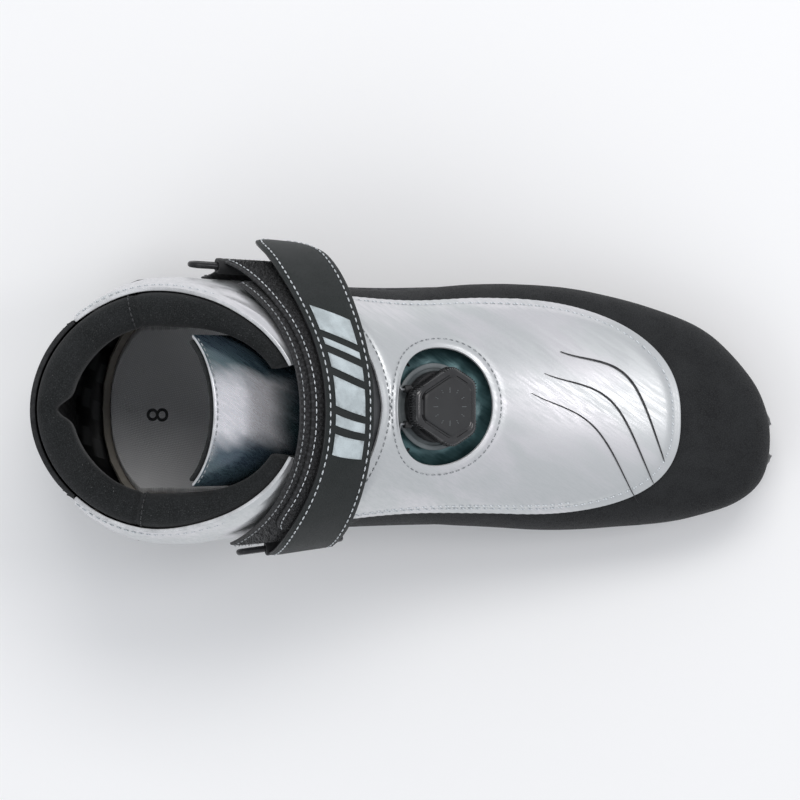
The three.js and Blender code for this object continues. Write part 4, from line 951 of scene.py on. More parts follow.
def nap(name, points, faces, body, density=2.2, fibre=0.9, lean=0.8, seed=3, material=None):
    obj = NAP.grow(name, points, [], faces, Density=density * 1e6, Fibre=fibre * MM, Lean=lean, Seed=seed,
                   Material=material or PILE)
    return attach(obj, body)


def dress(obj, body, slot, *nodes):
    """Puts a piece on its body and hides the CAD solids it stands for; its slot is not used."""
    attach(obj, body)
    if nodes:
        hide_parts(*nodes)
    return obj


# ------------------------------------------------------------------ lines on the last
THROAT_V = 0.1
FEATHER_V = 0.72
HEEL_PANEL_V = 0.74
LEATHER = 1.6
COVER_LIFT = 1.2
COVER = 1.2
DIAL_U = 8.76
SHELL_EDGE = [0.76, 0.72, 0.7, 0.69, 0.68, 0.68, 0.68, 0.67, 0.65, 0.63, 0.62, 0.62, 0.63, 0.66]


def side_of(v):
    v = np.asarray(v, float)
    return 1 - np.abs(1 - np.where(v < 0, v + 2, v))


def seam_line(v):
    return 9.6 + 0.55 * np.abs(v)


def collar_line(v):
    side = side_of(v)
    return np.where(side < 0.5, lerp(12.7, 14.2, smooth(side, 0, 0.5)),
                    lerp(14.2, END, smooth(side, 0.5, 1)))


def foam_line(v):
    return 11.2 + 2.6 * np.maximum(side_of(v), 0) ** 1.5


def shell_rear(v):
    return lerp(12.1, 12.9, smooth(1 - np.abs(1 - np.asarray(v)), 0.64, 1))


def scaled(path):
    """The millimetres that one step of u and of v covers, at each [u, v] place of a path."""
    return directions(path[:, 0], path[:, 1])[2:]


def inset(path, distance, closed=False):
    """The same line of [u, v] places moved sideways by a distance in millimetres."""
    path = np.asarray(path, float)
    per_u, per_v = scaled(path)
    step = (np.roll(path, -1, 0) - np.roll(path, 1, 0)) if closed else np.gradient(path, axis=0)
    x, y = step[:, 0] * per_u, step[:, 1] * per_v
    size = np.hypot(x, y)
    return np.stack([path[:, 0] + y / size * distance / per_u, path[:, 1] - x / size * distance / per_v], 1)


def on_skin(path, offset):
    return skin(path[:, 0], path[:, 1], offset)


# ------------------------------------------------------------------ upper
def vamp():
    rows, cols = 120, 108
    s, t = grid_places(rows, cols)
    v = lerp(-FEATHER_V, FEATHER_V, t)
    u = s**1.15 * (seam_line(v) - 0.025)
    faces = [f for f in grid_faces(rows, cols)
             if not (u[list(f)].mean() > 7.1 and abs(v[list(f)].mean()) < 0.3)]
    used = sorted({i for f in faces for i in f})
    number = {old: new for new, old in enumerate(used)}
    faces = [tuple(number[i] for i in f) for f in faces]
    u, v = u[used], v[used]
    base = skin(u, v)
    swell = ripples(base, 26.0, 0.22, 1) + ripples(base, 9.0, 0.07, 2)
    high, low = skin(u, v, swell), skin(u, v, -LEATHER)
    sides = [w for w in walls(faces, len(u)) if u[w[0]] > 1e-6 or u[w[1]] > 1e-6]
    under = [tuple(i + len(u) for i in f[::-1]) for f in faces]
    uv = cloth_place(u, v)
    obj = make("vamp", np.vstack([high, low]), [*faces, *under, *sides], [BLACK], np.vstack([uv, uv]),
               flip=False)
    shape = bmesh.new()
    shape.from_mesh(obj.data)
    bmesh.ops.remove_doubles(shape, verts=shape.verts, dist=2e-6)
    shape.to_mesh(obj.data)
    shape.free()
    dress(softened(obj), "boot", "black_leather", "vamp_panel")


def quarters():
    rows, cols = 64, 84
    for name, side in (("lateral", 1), ("medial", -1)):
        s, t = grid_places(rows, cols)
        v = lerp(THROAT_V, HEEL_PANEL_V - 0.004, t)
        start = seam_line(v) + 0.025 + 1.6 * smooth(v, FEATHER_V - 0.1, FEATHER_V + 0.12)
        u = lerp(start, collar_line(v), s)
        v = side * v
        base = skin(u, v)
        near_rim = smooth(s, 0.45, 0.8) * (1 - smooth(s, 0.93, 1.0))
        wrinkle = np.array([noise.noise(Vector((p[0] * 0.05, p[1] * 0.03,
                                                p[2] * 0.16)) + Vector((side, 4, 2))) for p in base])
        tight = ripples(base, 5.0, 0.16, 5 + side) * near_rim
        swell = near_rim * (1.0 + 0.8 * wrinkle) + ripples(base, 17.0, 0.3, 3 + side) * smooth(s, 0,
                                                                                               0.2) + tight
        high = skin(u, v, swell)
        low = skin(u, v, swell - LEATHER + 0.4 * near_rim)
        obj = between(f"quarter_{name}_skin", high, low, grid_faces(rows, cols), [SILVER, CUT_EDGE],
                      cloth_place(u, v), 0.4)
        dress(obj, "boot", "silver_leather", f"quarter_{name}")


def heel_skin():
    at = lambda s, t: (lerp(shell_rear(lerp(HEEL_PANEL_V, 2 - HEEL_PANEL_V, t)) - 0.3,
                            collar_line(lerp(HEEL_PANEL_V, 2 - HEEL_PANEL_V, t)), s),
                            lerp(HEEL_PANEL_V, 2 - HEEL_PANEL_V, t))
    high = lambda u, v: 0.35 * smooth(np.abs(1 - v), 0.26, 0.2) + ripples(skin(u, v), 15.0, 0.15, 9)
    obj = layer("heel_skin", 60, 60, at, -LEATHER, high, [BLACK, BLACK], edge_width=0.4)
    dress(obj, "boot", "black_leather", "heel_panel")


COVER_FRONT_U, COVER_WIDEST_U, COVER_REAR_U, COVER_CORNER_U, COVER_HALF_V = 4.8, 7.6, 9.9, 10.6, 0.345
HOLE_LENGTH, HOLE_WIDTH = 44.0, 46.0


def cover_outline(steps):
    """Places round the forefoot cover, from the middle of its rear edge."""
    share = np.arange(steps + 1) / steps
    rear = np.stack([lerp(COVER_REAR_U, COVER_CORNER_U, share**1.4), COVER_HALF_V * share], 1)
    side = np.stack([lerp(COVER_CORNER_U, COVER_WIDEST_U, share[1:]), np.full(steps, COVER_HALF_V)], 1)
    angle = math.pi / 2 * np.arange(1, 2 * steps + 1) / (2 * steps)
    power = 2 / 2.5
    reach = (COVER_WIDEST_U - COVER_FRONT_U) * np.sin(angle) ** power
    nose = np.stack([COVER_WIDEST_U - reach, COVER_HALF_V * np.maximum(np.cos(angle), 0) ** power], 1)
    half = np.vstack([rear, side, nose])
    return np.vstack([half, (half[1:-1] * (1, -1))[::-1]])


OUTLINE = cover_outline(48)
_, _, DIAL_PER_U, DIAL_PER_V = directions(np.array([DIAL_U]), np.array([0.0]))
HOLE_U, HOLE_V = HOLE_LENGTH / 2 / DIAL_PER_U[0], HOLE_WIDTH / 2 / DIAL_PER_V[0]
OUTLINE_POINTS = skin(OUTLINE[:, 0], OUTLINE[:, 1])


def cover_top(u, v):
    """Height of the cover over the last: down at its edge, proud over the instep and rolled at the hole."""
    place = skin(u, v)
    near = np.min(np.linalg.norm(place[:, None, :] - OUTLINE_POINTS[None, ::2, :], axis=2), axis=1)
    reach = np.hypot((u - DIAL_U) / HOLE_U, v / HOLE_V)
    past_hole = (reach - 1) * HOLE_LENGTH / 2
    channel = np.exp(-(((near - 3.3) / 0.9) ** 2)) + np.exp(-(((past_hole - 3.3) / 0.9) ** 2))
    body = lerp(1.3, COVER_LIFT + COVER, smooth(near, 0.0, 7.0))
    return body - 0.35 * (1 - smooth(past_hole, 0, 2.0)) - 0.22 * channel


def cover():
    rows = 46
    steps = len(OUTLINE)
    s, t = grid_places(rows, steps, loop=True)
    place = OUTLINE[np.round(t * steps).astype(int) % steps]
    reach = np.hypot((place[:, 0] - DIAL_U) / HOLE_U, place[:, 1] / HOLE_V)
    even = 0.5 * s + 0.5 * (3 * s**2 - 2 * s**3)
    share = lerp(1 / reach, 1, even)
    u, v = DIAL_U + (place[:, 0] - DIAL_U) * share, place[:, 1] * share
    top = cover_top(u, v)
    base = skin(u, v)
    swell = ripples(base, 22.0, 0.25, 11) * smooth(s, 0, 0.15) * (1 - smooth(s, 0.85, 1.0))
    high, low = skin(u, v, top + swell), skin(u, v, top + swell - COVER + 0.08)
    obj = between("forefoot_cover", high, low, grid_faces(rows, steps, True), [SILVER, CUT_EDGE],
                  cloth_place(u, v), 0.35)
    dress(obj, "boot", "silver_leather", "vamp_cover")


def cover_stitching():
    count = len(OUTLINE)
    quarter = count // 2
    edge = inset(OUTLINE, 3.3, True)
    if np.abs(edge[quarter][0]) < np.abs(OUTLINE[quarter][0]):
        edge = inset(OUTLINE, -3.3, True)
        sign = -1
    else:
        sign = 1
    ring_angle = np.linspace(0, 2 * math.pi, 181)
    past = 1 + 3.3 / (HOLE_LENGTH / 2)
    hole = np.stack([DIAL_U + HOLE_U * past * np.cos(ring_angle), HOLE_V * past * np.sin(ring_angle)], 1)
    corner = 48
    around = edge[corner - 4 : count - corner + 5]
    rear = np.vstack([edge[count - corner + 2 :], edge[: corner - 1]])
    second = inset(OUTLINE, sign * 5.4, True)[count - corner - 62 : count - corner - 4]
    lift = 0.1
    rows = [on_skin(path, cover_top(path[:, 0], path[:, 1]) + lift) for path in (around, second)]
    sew("cover_stitches", rows, THREAD)
    sew("opening_stitches", [on_skin(hole, cover_top(hole[:, 0], hole[:, 1]) + lift),
                             on_skin(rear, cover_top(rear[:, 0], rear[:, 1]) + lift)], SHADE_THREAD,
                             pitch=2.6, length=1.9, thread=0.3)


def pinstripes():
    """Three plain sweeping lines printed over the toe of the cover."""
    strips = [((5.15, -0.16), (5.75, 0.10), (6.9, 0.17), 0.9),
              ((5.35, -0.24), (6.05, 0.02), (7.15, 0.10), 0.75),
              ((5.62, -0.31), (6.35, -0.06), (7.35, 0.04), 0.6)]
    points, faces, uv = [], [], []
    for a, b, c, width in strips:
        path = spline([np.array(p) for p in (a, b, c)], 40)
        taper = np.sin(np.linspace(0.08, math.pi - 0.08, len(path))) ** 0.5
        start = len(points)
        for edge in (-0.5, 0.5):
            line = np.array([inset(path, width * edge * 1.0, False)[k] for k in range(len(path))])
            line = path + (line - path) * taper[:, None]
            points.extend(on_skin(line, cover_top(line[:, 0], line[:, 1]) + 0.42))
            uv.extend(cloth_place(line[:, 0], line[:, 1]))
        n = len(path)
        faces.extend((start + k, start + k + 1, start + n + k + 1, start + n + k) for k in range(n - 1))
    points = np.array(points)
    under = points - np.array([0, 0, 0.6])
    obj = between("cover_pinstripes", points, under, faces, [INK, INK], np.array(uv), 0)
    dress(obj, "boot", "silver_leather")


UNDERLAY_HALF_V = 0.36
UNDERLAY_DEPTH = 5.8
UNDERLAY_EDGE = -2.3


def underlay_top(u, v):
    across = 1 - (v / UNDERLAY_HALF_V) ** 2
    along = smooth(1.7 - np.abs(u - DIAL_U), 0, 0.9)
    return UNDERLAY_EDGE - (UNDERLAY_DEPTH + UNDERLAY_EDGE) * np.sqrt(np.maximum(across, 0)) * along


def recess():
    def high(u, v):
        place = skin(u, v)
        x, y = (u - DIAL_U) * DIAL_PER_U[0], v * DIAL_PER_V[0]
        distance = np.hypot(x, y)
        outside = smooth(distance, 17.5, 20)
        folds = 0.45 * np.sin(np.arctan2(y, x) * 11 + 0.15 * distance) * outside
        return underlay_top(u, v) + outside * (0.35 + ripples(place, 7.0, 0.5, 21)) + folds * 0.8
    at = lambda s, t: (lerp(6.95, 9.55, s), lerp(-UNDERLAY_HALF_V, UNDERLAY_HALF_V, t))
    # the recess takes the pearl leather with painted shade
    obj = layer("dial_recess", 72, 90, at, lambda u, v: underlay_top(u, v) - 1.0, high, [SHADED_PEARL, SHADED_PEARL],
                edge_width=0)
    dress(obj, "boot", "teal_leather", "dial_underlay")


def gusset():
    def high(u, v):
        crown = np.maximum(1 - (v / 0.3) ** 2, 0) ** 0.7 * smooth(u, 9.6, 9.95)
        pleats = 0.22 * np.sin((u - 9.6) * 16) * crown
        return UNDERLAY_EDGE + 2.4 * crown + pleats
    at = lambda s, t: (lerp(9.6, 11.1, s), lerp(-0.3, 0.3, t))
    obj = layer("throat_film", 44, 60, at, lambda u, v: high(u, v) - 1.0, high, [FILM, FILM], edge_width=0)
    dress(obj, "boot", "gusset", "throat_gusset")


def upper_stitching():
    rows, dark = [], []
    for side in (1, -1):
        v = side * np.linspace(0.13, HEEL_PANEL_V - 0.02, 120)
        line = collar_line(v)
        _, _, per_u, _ = directions(line, v)
        rows.append(skin(line - 3.6 / per_u, v, 0.55))
        rows.append(skin(seam_line(v[30:90]) + 3.0 / per_u[30:90], v[30:90], 0.2))
        lift = np.linspace(12.6, 14.47, 60)
        for back in (0.018, 0.034):
            edge = np.full(60, HEEL_PANEL_V + back) if side > 0 else np.full(60, 2 - HEEL_PANEL_V - back)
            dark.append(skin(lift, edge, 0.42))
    sew("quarter_stitches", rows, THREAD, pitch=2.9, length=2.1, thread=0.28)
    sew("heel_stitches", dark, DARK_THREAD, pitch=2.9, length=2.1, thread=0.3)


vamp()
quarters()
heel_skin()
cover()
cover_stitching()
pinstripes()
recess()
gusset()
upper_stitching()


# ------------------------------------------------------------------ padded pieces
COLLAR_V0, COLLAR_V1 = 0.112, 1.888
PAD_TOP = -2.2


def foam_thickness(u, v):
    side = side_of(v)
    rim = lerp(6.5, 13.0, smooth(side, 0.12, 0.48))
    share = np.clip((u - foam_line(v)) / (collar_line(v) - foam_line(v)), 0, 1)
    fold = 1 - 0.42 * np.exp(-(((v - 1) / 0.035) ** 2))
    return lerp(2.6, rim * fold, smooth(share, 0, 0.85))


def puffed(obj, sewn, pressure, reach):
    """Blows the pad up like stuffed cloth from its sewn lines, no point going further than reach."""
    scene = bpy.context.scene
    before = np.array([v.co for v in obj.data.vertices])
    group = obj.vertex_groups.new(name="sewn")
    for index, weight in sewn:
        group.add([int(index)], float(weight), "REPLACE")
    cloth = obj.modifiers.new("stuffing", "CLOTH")
    cloth.settings.quality = 6
    cloth.settings.mass = 0.25
    cloth.settings.tension_stiffness = 18
    cloth.settings.compression_stiffness = 18
    cloth.settings.bending_stiffness = 0.6
    cloth.settings.use_pressure = True
    cloth.settings.uniform_pressure_force = pressure
    cloth.settings.vertex_group_mass = "sewn"
    cloth.settings.effector_weights.gravity = 0
    cloth.collision_settings.use_collision = False
    cloth.point_cache.frame_start = 1
    cloth.point_cache.frame_end = 20
    scene.frame_start, scene.frame_end = 1, 20
    for number in range(1, 21):
        scene.frame_set(number)
    found = obj.evaluated_get(bpy.context.evaluated_depsgraph_get()).to_mesh()
    after = np.array([v.co for v in found.vertices])
    obj.modifiers.clear()
    scene.frame_set(1)
    move = after - before
    size = np.linalg.norm(move, axis=1, keepdims=True)
    capped = before + move * np.minimum(1, reach * MM / np.maximum(size, 1e-9))
    obj.data.vertices.foreach_set("co", capped.ravel())
    obj.data.update()
    return obj


def rounded(obj, levels=1):
    sub = obj.modifiers.new("round", "SUBSURF")
    sub.levels = sub.render_levels = levels
    settled(obj)
    obj.data.shade_smooth()
    return obj


def collar_section(v, around):
    """Points round the pad's section at one v: up its outer face, over the rim and down its inner face."""
    rim = float(collar_line(v))
    foot = float(foam_line(v))
    thick = float(foam_thickness(np.array(rim), np.array(v)))
    outer, crown = around // 4, around // 3
    inner = around - outer - crown
    share = np.linspace(0.04, 0.95, outer)
    u = lerp(foot, rim, share)
    points = [skin(u, np.full(outer, v), PAD_TOP - 0.1)]
    base = skin(np.array([rim]), np.array([v]), 0.0)[0]
    out = skin_normal(np.array([rim]), np.array([v]))[0]
    up = directions(np.array([rim - 0.1]), np.array([v]))[0][0]
    turn = math.pi * (np.arange(crown) + 0.5) / crown
    middle, half = PAD_TOP - thick / 2, thick / 2
    height = 0.9 + 0.34 * thick
    points.append(base + np.outer(middle + half * np.cos(turn), out) + np.outer(np.sin(turn) * height - 0.6,
                                                                                up))
    share = np.linspace(0.93, 0.03, inner)
    u = lerp(foot, rim, share)
    depth = foam_thickness(u, np.full(inner, v))
    points.append(skin(u, np.full(inner, v), PAD_TOP - depth))
    return np.vstack(points)


def collar():
    around, along = 30, 190
    places = lerp(COLLAR_V0, COLLAR_V1, np.arange(along + 1) / along)
    points = np.vstack([collar_section(v, around) for v in places])
    faces = grid_faces(along, around, loop=True)
    faces.append(tuple(range(around))[::-1])
    faces.append(tuple(along * around + j for j in range(around)))
    obj = make("collar_pad", points, faces, [COLLAR])
    outer = around // 4
    sewn = []
    for i, v in enumerate(places):
        seam = max(math.exp(-(((v - s) / 0.008) ** 2)) for s in (0.56, 1.44))
        crease = math.exp(-(((v - 1) / 0.02) ** 2))
        for j in range(around):
            held = 1.0 if j in (0, outer - 1, outer, around - 1) else 0.0
            held = max(held, 0.9 * seam, 0.75 * crease)
            if i in (0, along):
                held = max(held, 0.6)
            if held > 0.02:
                sewn.append((i * around + j, held))
    puffed(obj, sewn, 3.2, 2.2)
    co = np.array([v.co for v in obj.data.vertices]).reshape(-1, 3)
    rows = co[: (along + 1) * around].reshape(along + 1, around, 3)
    centre = rows.mean(1, keepdims=True)
    for seam in (0.56, 1.44):
        pull = 0.09 * np.exp(-(((places - seam) / 0.006) ** 2))[:, None, None]
        rows = rows + (centre - rows) * pull
    co[: (along + 1) * around] = rows.reshape(-1, 3)
    obj.data.vertices.foreach_set("co", co.ravel())
    obj.data.update()
    section = (rows.reshape(-1, 3) - SHIFT) / MM
    rounded(obj)
    dress(obj, "boot", "soft_black", "collar_foam_lateral", "collar_foam_heel", "collar_foam_medial")
    section = section.reshape(along + 1, around, 3)
    middle = section.mean(1, keepdims=True)
    section = middle + (section - middle) * 1.012
    seams = []
    for seam in (0.56, 1.44):
        at = int(round((seam - COLLAR_V0) / (COLLAR_V1 - COLLAR_V0) * along))
        seams.append(section[at, outer:])
        seams.append(section[at + 2, outer : outer + around // 3 + 3])
    first = int(around * 0.78)
    welt = section[int(along * 0.26) : int(along * 0.74), first]
    seams.append(welt)
    sew("collar_stitches", seams, DARK_THREAD, pitch=2.2, length=1.8, thread=0.28)


# ------------------------------------------------------------------ tongue
TONGUE_ANGLE = 1.06
TONGUE_LEATHER = 1.3
TONGUE_FOAM = 5.2
TONGUE_Y = -4.0


def tongue_line():
    foot = skin(np.array(8.15), np.array(0.0), -(UNDERLAY_DEPTH + 1.0 + 0.7))
    bend = skin(np.array(9.45), np.array(0.0), -10.5)
    points = [foot, bend] + [np.array([x, 0, z]) for x,
                             z in ((-22, 101), (-42, 118), (-58, 133), (-69, 143))]
    line = spline([p * (1, 0, 1) + (0, TONGUE_Y, 0) for p in points], 60)
    share = np.linspace(0, 1, len(line))
    return line, share


def tongue_points(s, t, depth):
    line, share = tongue_line()
    centre = np.stack([np.interp(s, share, line[:, k]) for k in range(3)], 1)
    ahead = np.gradient(line, axis=0)
    ahead /= np.linalg.norm(ahead, axis=1, keepdims=True)
    along = np.stack([np.interp(s, share, ahead[:, k]) for k in range(3)], 1)
    outward = np.stack([along[:, 2], 0 * s, -along[:, 0]], 1)
    lateral, medial = LAST[END - 1][4:6]
    full = ((lateral - medial) / 2 - LEATHER - 0.6 - 13.5 - 2.7) / math.sin(TONGUE_ANGLE)
    angle = (2 * t - 1) * TONGUE_ANGLE * lerp(0.62, 1, smooth(s, 0, 0.7))
    centre = centre + outward * ((full - depth) * np.cos(angle) - full)[:, None]
    centre[:, 1] += (full - depth) * np.sin(angle)
    return centre


def tongue():
    rows, cols = 90, 64
    s, t = grid_places(rows, cols)
    curve = 0.035 * (1 - (2 * t - 1) ** 2)
    top = s * (0.965 + curve)
    wave = 0.25 * np.sin(s * 9 + t * 2) * smooth(s, 0.5, 0.9)
    high, low = tongue_points(top, t, wave * 0), tongue_points(top, t, np.full(len(s), TONGUE_LEATHER))
    obj = between("tongue_face", high, low, grid_faces(rows, cols), [TONGUE, CUT_EDGE], np.stack([s, t], 1),
                  0.35)
    dress(obj, "tongue", "teal_leather", "tongue_leather")

    rows, cols = 60, 34
    s, t = grid_places(rows, cols)
    curve = 0.035 * (1 - (2 * t - 1) ** 2)
    top = s * (0.975 + curve)
    edge = np.minimum(np.minimum(t, 1 - t) * 9, (1 - s) * 14)
    swell = smooth(edge, 0, 1)
    face = tongue_points(top, t, np.full(len(s), TONGUE_LEATHER + 0.6))
    back = tongue_points(top, t, TONGUE_LEATHER + 0.6 + lerp(1.6, TONGUE_FOAM - 0.6, swell))
    faces = grid_faces(rows, cols)
    count = len(s)
    under = [tuple(i + count for i in f[::-1]) for f in faces]
    pad = make("tongue_pad", np.vstack([face, back]), [*faces, *under, *walls(faces, count)], [COLLAR])
    border = [k for k in range(count) if s[k] in (0.0, 1.0) or t[k] in (0.0, 1.0)]
    channel = [k + count for k in range(count) if abs((s[k] * 5) % 1 - 0.5) > 0.46 and 0.15 < t[k] < 0.85]
    sewn = [(k, 1.0) for k in range(count)] + [(k + count, 1.0) for k in border] + [(k, 0.8)
                                                                                    for k in channel]
    puffed(pad, sewn, 2.6, 1.2)
    rounded(pad)
    dress(pad, "tongue", "soft_black", "tongue_foam")
    across = np.linspace(0.06, 0.94, 60)
    row = tongue_points(np.full(60, 0.955) + 0.03 * (1 - (2 * across - 1) ** 2), across, np.full(60, -0.12))
    sew("tongue_stitches", [row], SHADE_THREAD, "tongue", pitch=2.8, length=2.0, thread=0.26)


# ------------------------------------------------------------------ inside the boot
def linings():
    high = -(LEATHER + 2 * 0.7 + 1.2 + 0.5)
    front = lambda s, t: (lerp(1.8, 6.8, s), lerp(-0.57, 0.57, t))
    dress(layer("sock_forefoot", 40, 50, front, high - 1, high, [LINING], edge_width=0), "boot", "lining",
          "lining_forefoot")
    for name, side in (("lateral", 1), ("medial", -1)):
        def at(s, t):
            near_middle = lerp(0.4, 0.17, smooth(lerp(6.9, 11.4, s), 9.6, 10.6))
            u = lerp(6.9, foam_line(lerp(near_middle, 0.66, t)) - 0.12, s)
            near = lerp(0.4, 0.17, smooth(u, 9.6, 10.6))
            return u, side * lerp(near, 0.66, t)
        obj = layer(f"sock_{name}", 48, 36, at, high - 1, high, [LINING], edge_width=0)
        dress(obj, "boot", "lining", f"lining_{name}")
    heel = lambda s, t: (lerp(12.1, foam_line(lerp(0.67, 1.33, t)) - 0.12, s), lerp(0.67, 1.33, t))
    dress(layer("sock_heel", 30, 44, heel, high - 1, high, [LINING], edge_width=0), "boot", "lining",
          "lining_heel")
    seams = []
    for side in (1, -1):
        u = np.linspace(11.6, 13.6, 50)
        seams.append(skin(u, side * (0.66 + 0.25 * smooth(u, 11.8, 13.6)), high - 1.15))
    sew("sock_seams", seams, SHADE_THREAD, pitch=1.9, length=1.7, thread=0.25)


def footbed():
    board = -(LEATHER + 2 * 0.7 + 0.6) - 1.8
    top = board - 0.9 - 3.2

    def at(s, t):
        u = lerp(2.6, 11.4, s)
        taper = 0.05 * smooth(u, 9, 11.5) + 0.05 * smooth(2.2 - u, -1, 0)
        return u, lerp(0.71 + taper, 1.29 - taper, t)
    obj = layer("foot_bed", 90, 36, at, top, top + 3.2, [FOOTBED], edge_width=0.5)
    dress(obj, "boot", "footbed", "footbed")
    data = bpy.data.curves.new("size_number", "FONT")
    data.body = "8"
    data.size = 0.0125
    data.extrude = 0.00008
    data.align_x = data.align_y = "CENTER"
    text = bpy.data.objects.new("size_number_text", data)
    bpy.context.scene.collection.objects.link(text)
    bpy.context.view_layer.update()
    mesh = bpy.data.meshes.new_from_object(text.evaluated_get(bpy.context.evaluated_depsgraph_get()))
    bpy.data.objects.remove(text)
    below = skin(np.array([10.83]), np.array([1.0]), top)[0]
    ahead, behind = skin(np.array([10.6, 11.05]), np.array([1.0, 1.0]), top)
    slope = math.atan2(ahead[2] - behind[2], ahead[0] - behind[0])
    turn = Matrix.Translation(placed(below + (0, -2.6, 0.12))) @ Matrix.Rotation(-slope, 4,
            "Y") @ Matrix.Rotation(math.pi / 2, 4, "Z")
    mesh.transform(turn)
    mesh.materials.clear()
    mesh.materials.append(INK)
    number = bpy.data.objects.new("size_number", mesh)
    bpy.context.scene.collection.objects.link(number)
    dress(number, "boot", "footbed")


collar()
tongue()
linings()
footbed()


# ------------------------------------------------------------------ straps and rings
STRAP_WIDTH, PAD_WIDTH, STRAP = 27.0, 31.0, 1.2
HOOK = 0.6
GAP = 0.4
WIRE, PLAY, STRAIGHT, BARS_APART, RING_SHIFT = 1.25, 0.35, 34.0, 6.6, 3.0
PAD_LOW = COVER_LIFT + COVER + GAP
RETURN_LOW = PAD_LOW + STRAP + GAP
HOOK_LOW = RETURN_LOW + STRAP + GAP
FLAP_LOW = HOOK_LOW + HOOK + GAP
BARREL = WIRE + PLAY + STRAP
BAR_OFFSET = max(FLAP_LOW + STRAP - BARREL, COVER_LIFT + COVER + 0.2 + BARREL)
LOOP_LOW = BAR_OFFSET + BARREL - STRAP - 0.12
PAD_START, RETURN_START, FLAP_START, FLAP_SET_BACK = 12.0, 11.75, 11.15, 0.24
RING_V = {"lateral": 0.435, "medial": -0.45}


def strap_line(start, v):
    """Middle line of a strap over the instep; the flap sits a little further back at its crest."""
    set_back = FLAP_SET_BACK * np.maximum(1 - (v / 0.4) ** 2, 0) ** 2 if start == FLAP_START else 0
    return start - np.where(v < 0, 2.6, 1.9) * np.abs(v) ** 1.5 + set_back


def strap_points(s, t, v0, v1, start, width, offset):
    """Points of a strap that runs round the instep from v0 to v1, t across its width."""
    v = lerp(v0, v1, s)
    middle = strap_line(start, v)
    _, _, per_u, _ = directions(middle, v)
    return skin(middle + (2 * t - 1) * width(v) / 2 / per_u, v, offset(v, t))


def strap_length(v0, v1, start):
    line = strap_points(np.linspace(0, 1, 80), np.full(80, 0.5), v0, v1, start, lambda v: 10 + 0 * v,
                        lambda v, t: 4 + 0 * v)
    return np.linalg.norm(np.diff(line, axis=0), axis=1).sum()


def strap(name, v0, v1, start, width, low, thickness, materials, crown=0.25, steps=110, cols=18):
    s, t = grid_places(steps, cols)
    tight = 1 - np.abs(2 * t - 1) ** 6
    fall = 0.5 * np.sin(s * 11 + t * 2.2) * 0.16
    lift = lambda v, tt: low(v) + fall
    high = strap_points(s, t, v0, v1, start, width, lambda v,
                        tt: lift(v, tt) + thickness * (0.78 + 0.22 * tight) + crown * tight)
    under = strap_points(s, t, v0, v1, start, width, lambda v, tt: lift(v, tt) + 0.12 * (1 - tight))
    uv = np.stack([s * strap_length(v0, v1, start), t * STRAP_WIDTH], 1) / 100
    return between(name, high, under, grid_faces(steps, cols), materials, uv, 0.3)


def strap_nap(name, v0, v1, start, width, offset, body, across=(0.04, 0.96), **how):
    steps, cols = 60, 8
    s, t = grid_places(steps, cols)
    points = strap_points(s, lerp(across[0], across[1], t), v0, v1, start, width, lambda v, tt: offset(v))
    points = np.asarray(points)
    faces = grid_faces(steps, cols)
    a, b, c = (points[i] for i in faces[len(faces) // 2][:3])
    outward = skin_normal(np.array([start]), np.array([(v0 + v1) / 2]))[0]
    if np.dot(np.cross(b - a, c - a), outward) < 0:
        faces = [f[::-1] for f in faces]
    return nap(name, points, faces, body, **how)


def strap_row(v0, v1, start, width, offset, side, margin):
    s = np.linspace(0, 1, 160)
    v = lerp(v0, v1, s)
    t = 0.5 + side * (0.5 - margin / width(v))
    return strap_points(s, t, v0, v1, start, width, lambda v, tt: offset(v))


class Ring:
    """Where a ring sits: its middle, its bars' direction and the way down the side of the boot."""

    def __init__(self, side, start):
        self.v = RING_V[side]
        self.u = float(strap_line(start, np.array(self.v)))
        lengthways, around, _, per_v = directions(np.array([self.u]), np.array([self.v]))
        self.per_v = float(per_v[0])
        self.bar = lengthways[0]
        self.down = around[0] * np.sign(self.v)
        self.across = np.cross(self.down, self.bar)
        self.middle = skin(np.array([self.u]), np.array([self.v]), BAR_OFFSET)[0]

    def place(self, down, along, out):
        return (self.middle + np.outer(down, self.down) + np.outer(along, self.bar) + np.outer(out,
                                                                                               self.across))


def ring_wire(name, ring):
    bend = BARS_APART / 2
    path = []
    for end in (1, -1):
        for turn in np.linspace(-math.pi / 2, math.pi / 2, 15):
            path.append((-end * bend * math.sin(turn), end * (STRAIGHT / 2 + bend * math.cos(turn))))
    path.append(path[0])
    path = evened(path, 0.9)[:-1]
    points = ring.place(path[:, 0], path[:, 1] + RING_SHIFT, np.zeros(len(path)))
    obj = tube(f"ring_{name}_wire", points, WIRE, 16, BLACK_STEEL, closed=True, up=ring.across)
    dress(obj, "boot", "dark_steel", f"ring_{name}")


def strap_loop(name, ring, shift, width, body, slot):
    """The rolled end of a strap, sewn round a bar of the ring."""
    inner = WIRE + PLAY
    steps = 18
    corners = [(inner, z) for z in np.linspace(-width / 2, width / 2, steps)]
    corners += [(BARREL, z) for z in np.linspace(width / 2, -width / 2, steps)]
    to_world = lambda p: ring.place(p[:, 0] + shift, p[:, 2], p[:, 1])
    wave = lambda r, z, a: 0.06 * math.sin(z * 2.1 + 3 * a) if r > inner else 0.0
    return dress(turned(name, corners, 28, [TAPE], to_world, wave, 0.25), body, slot)


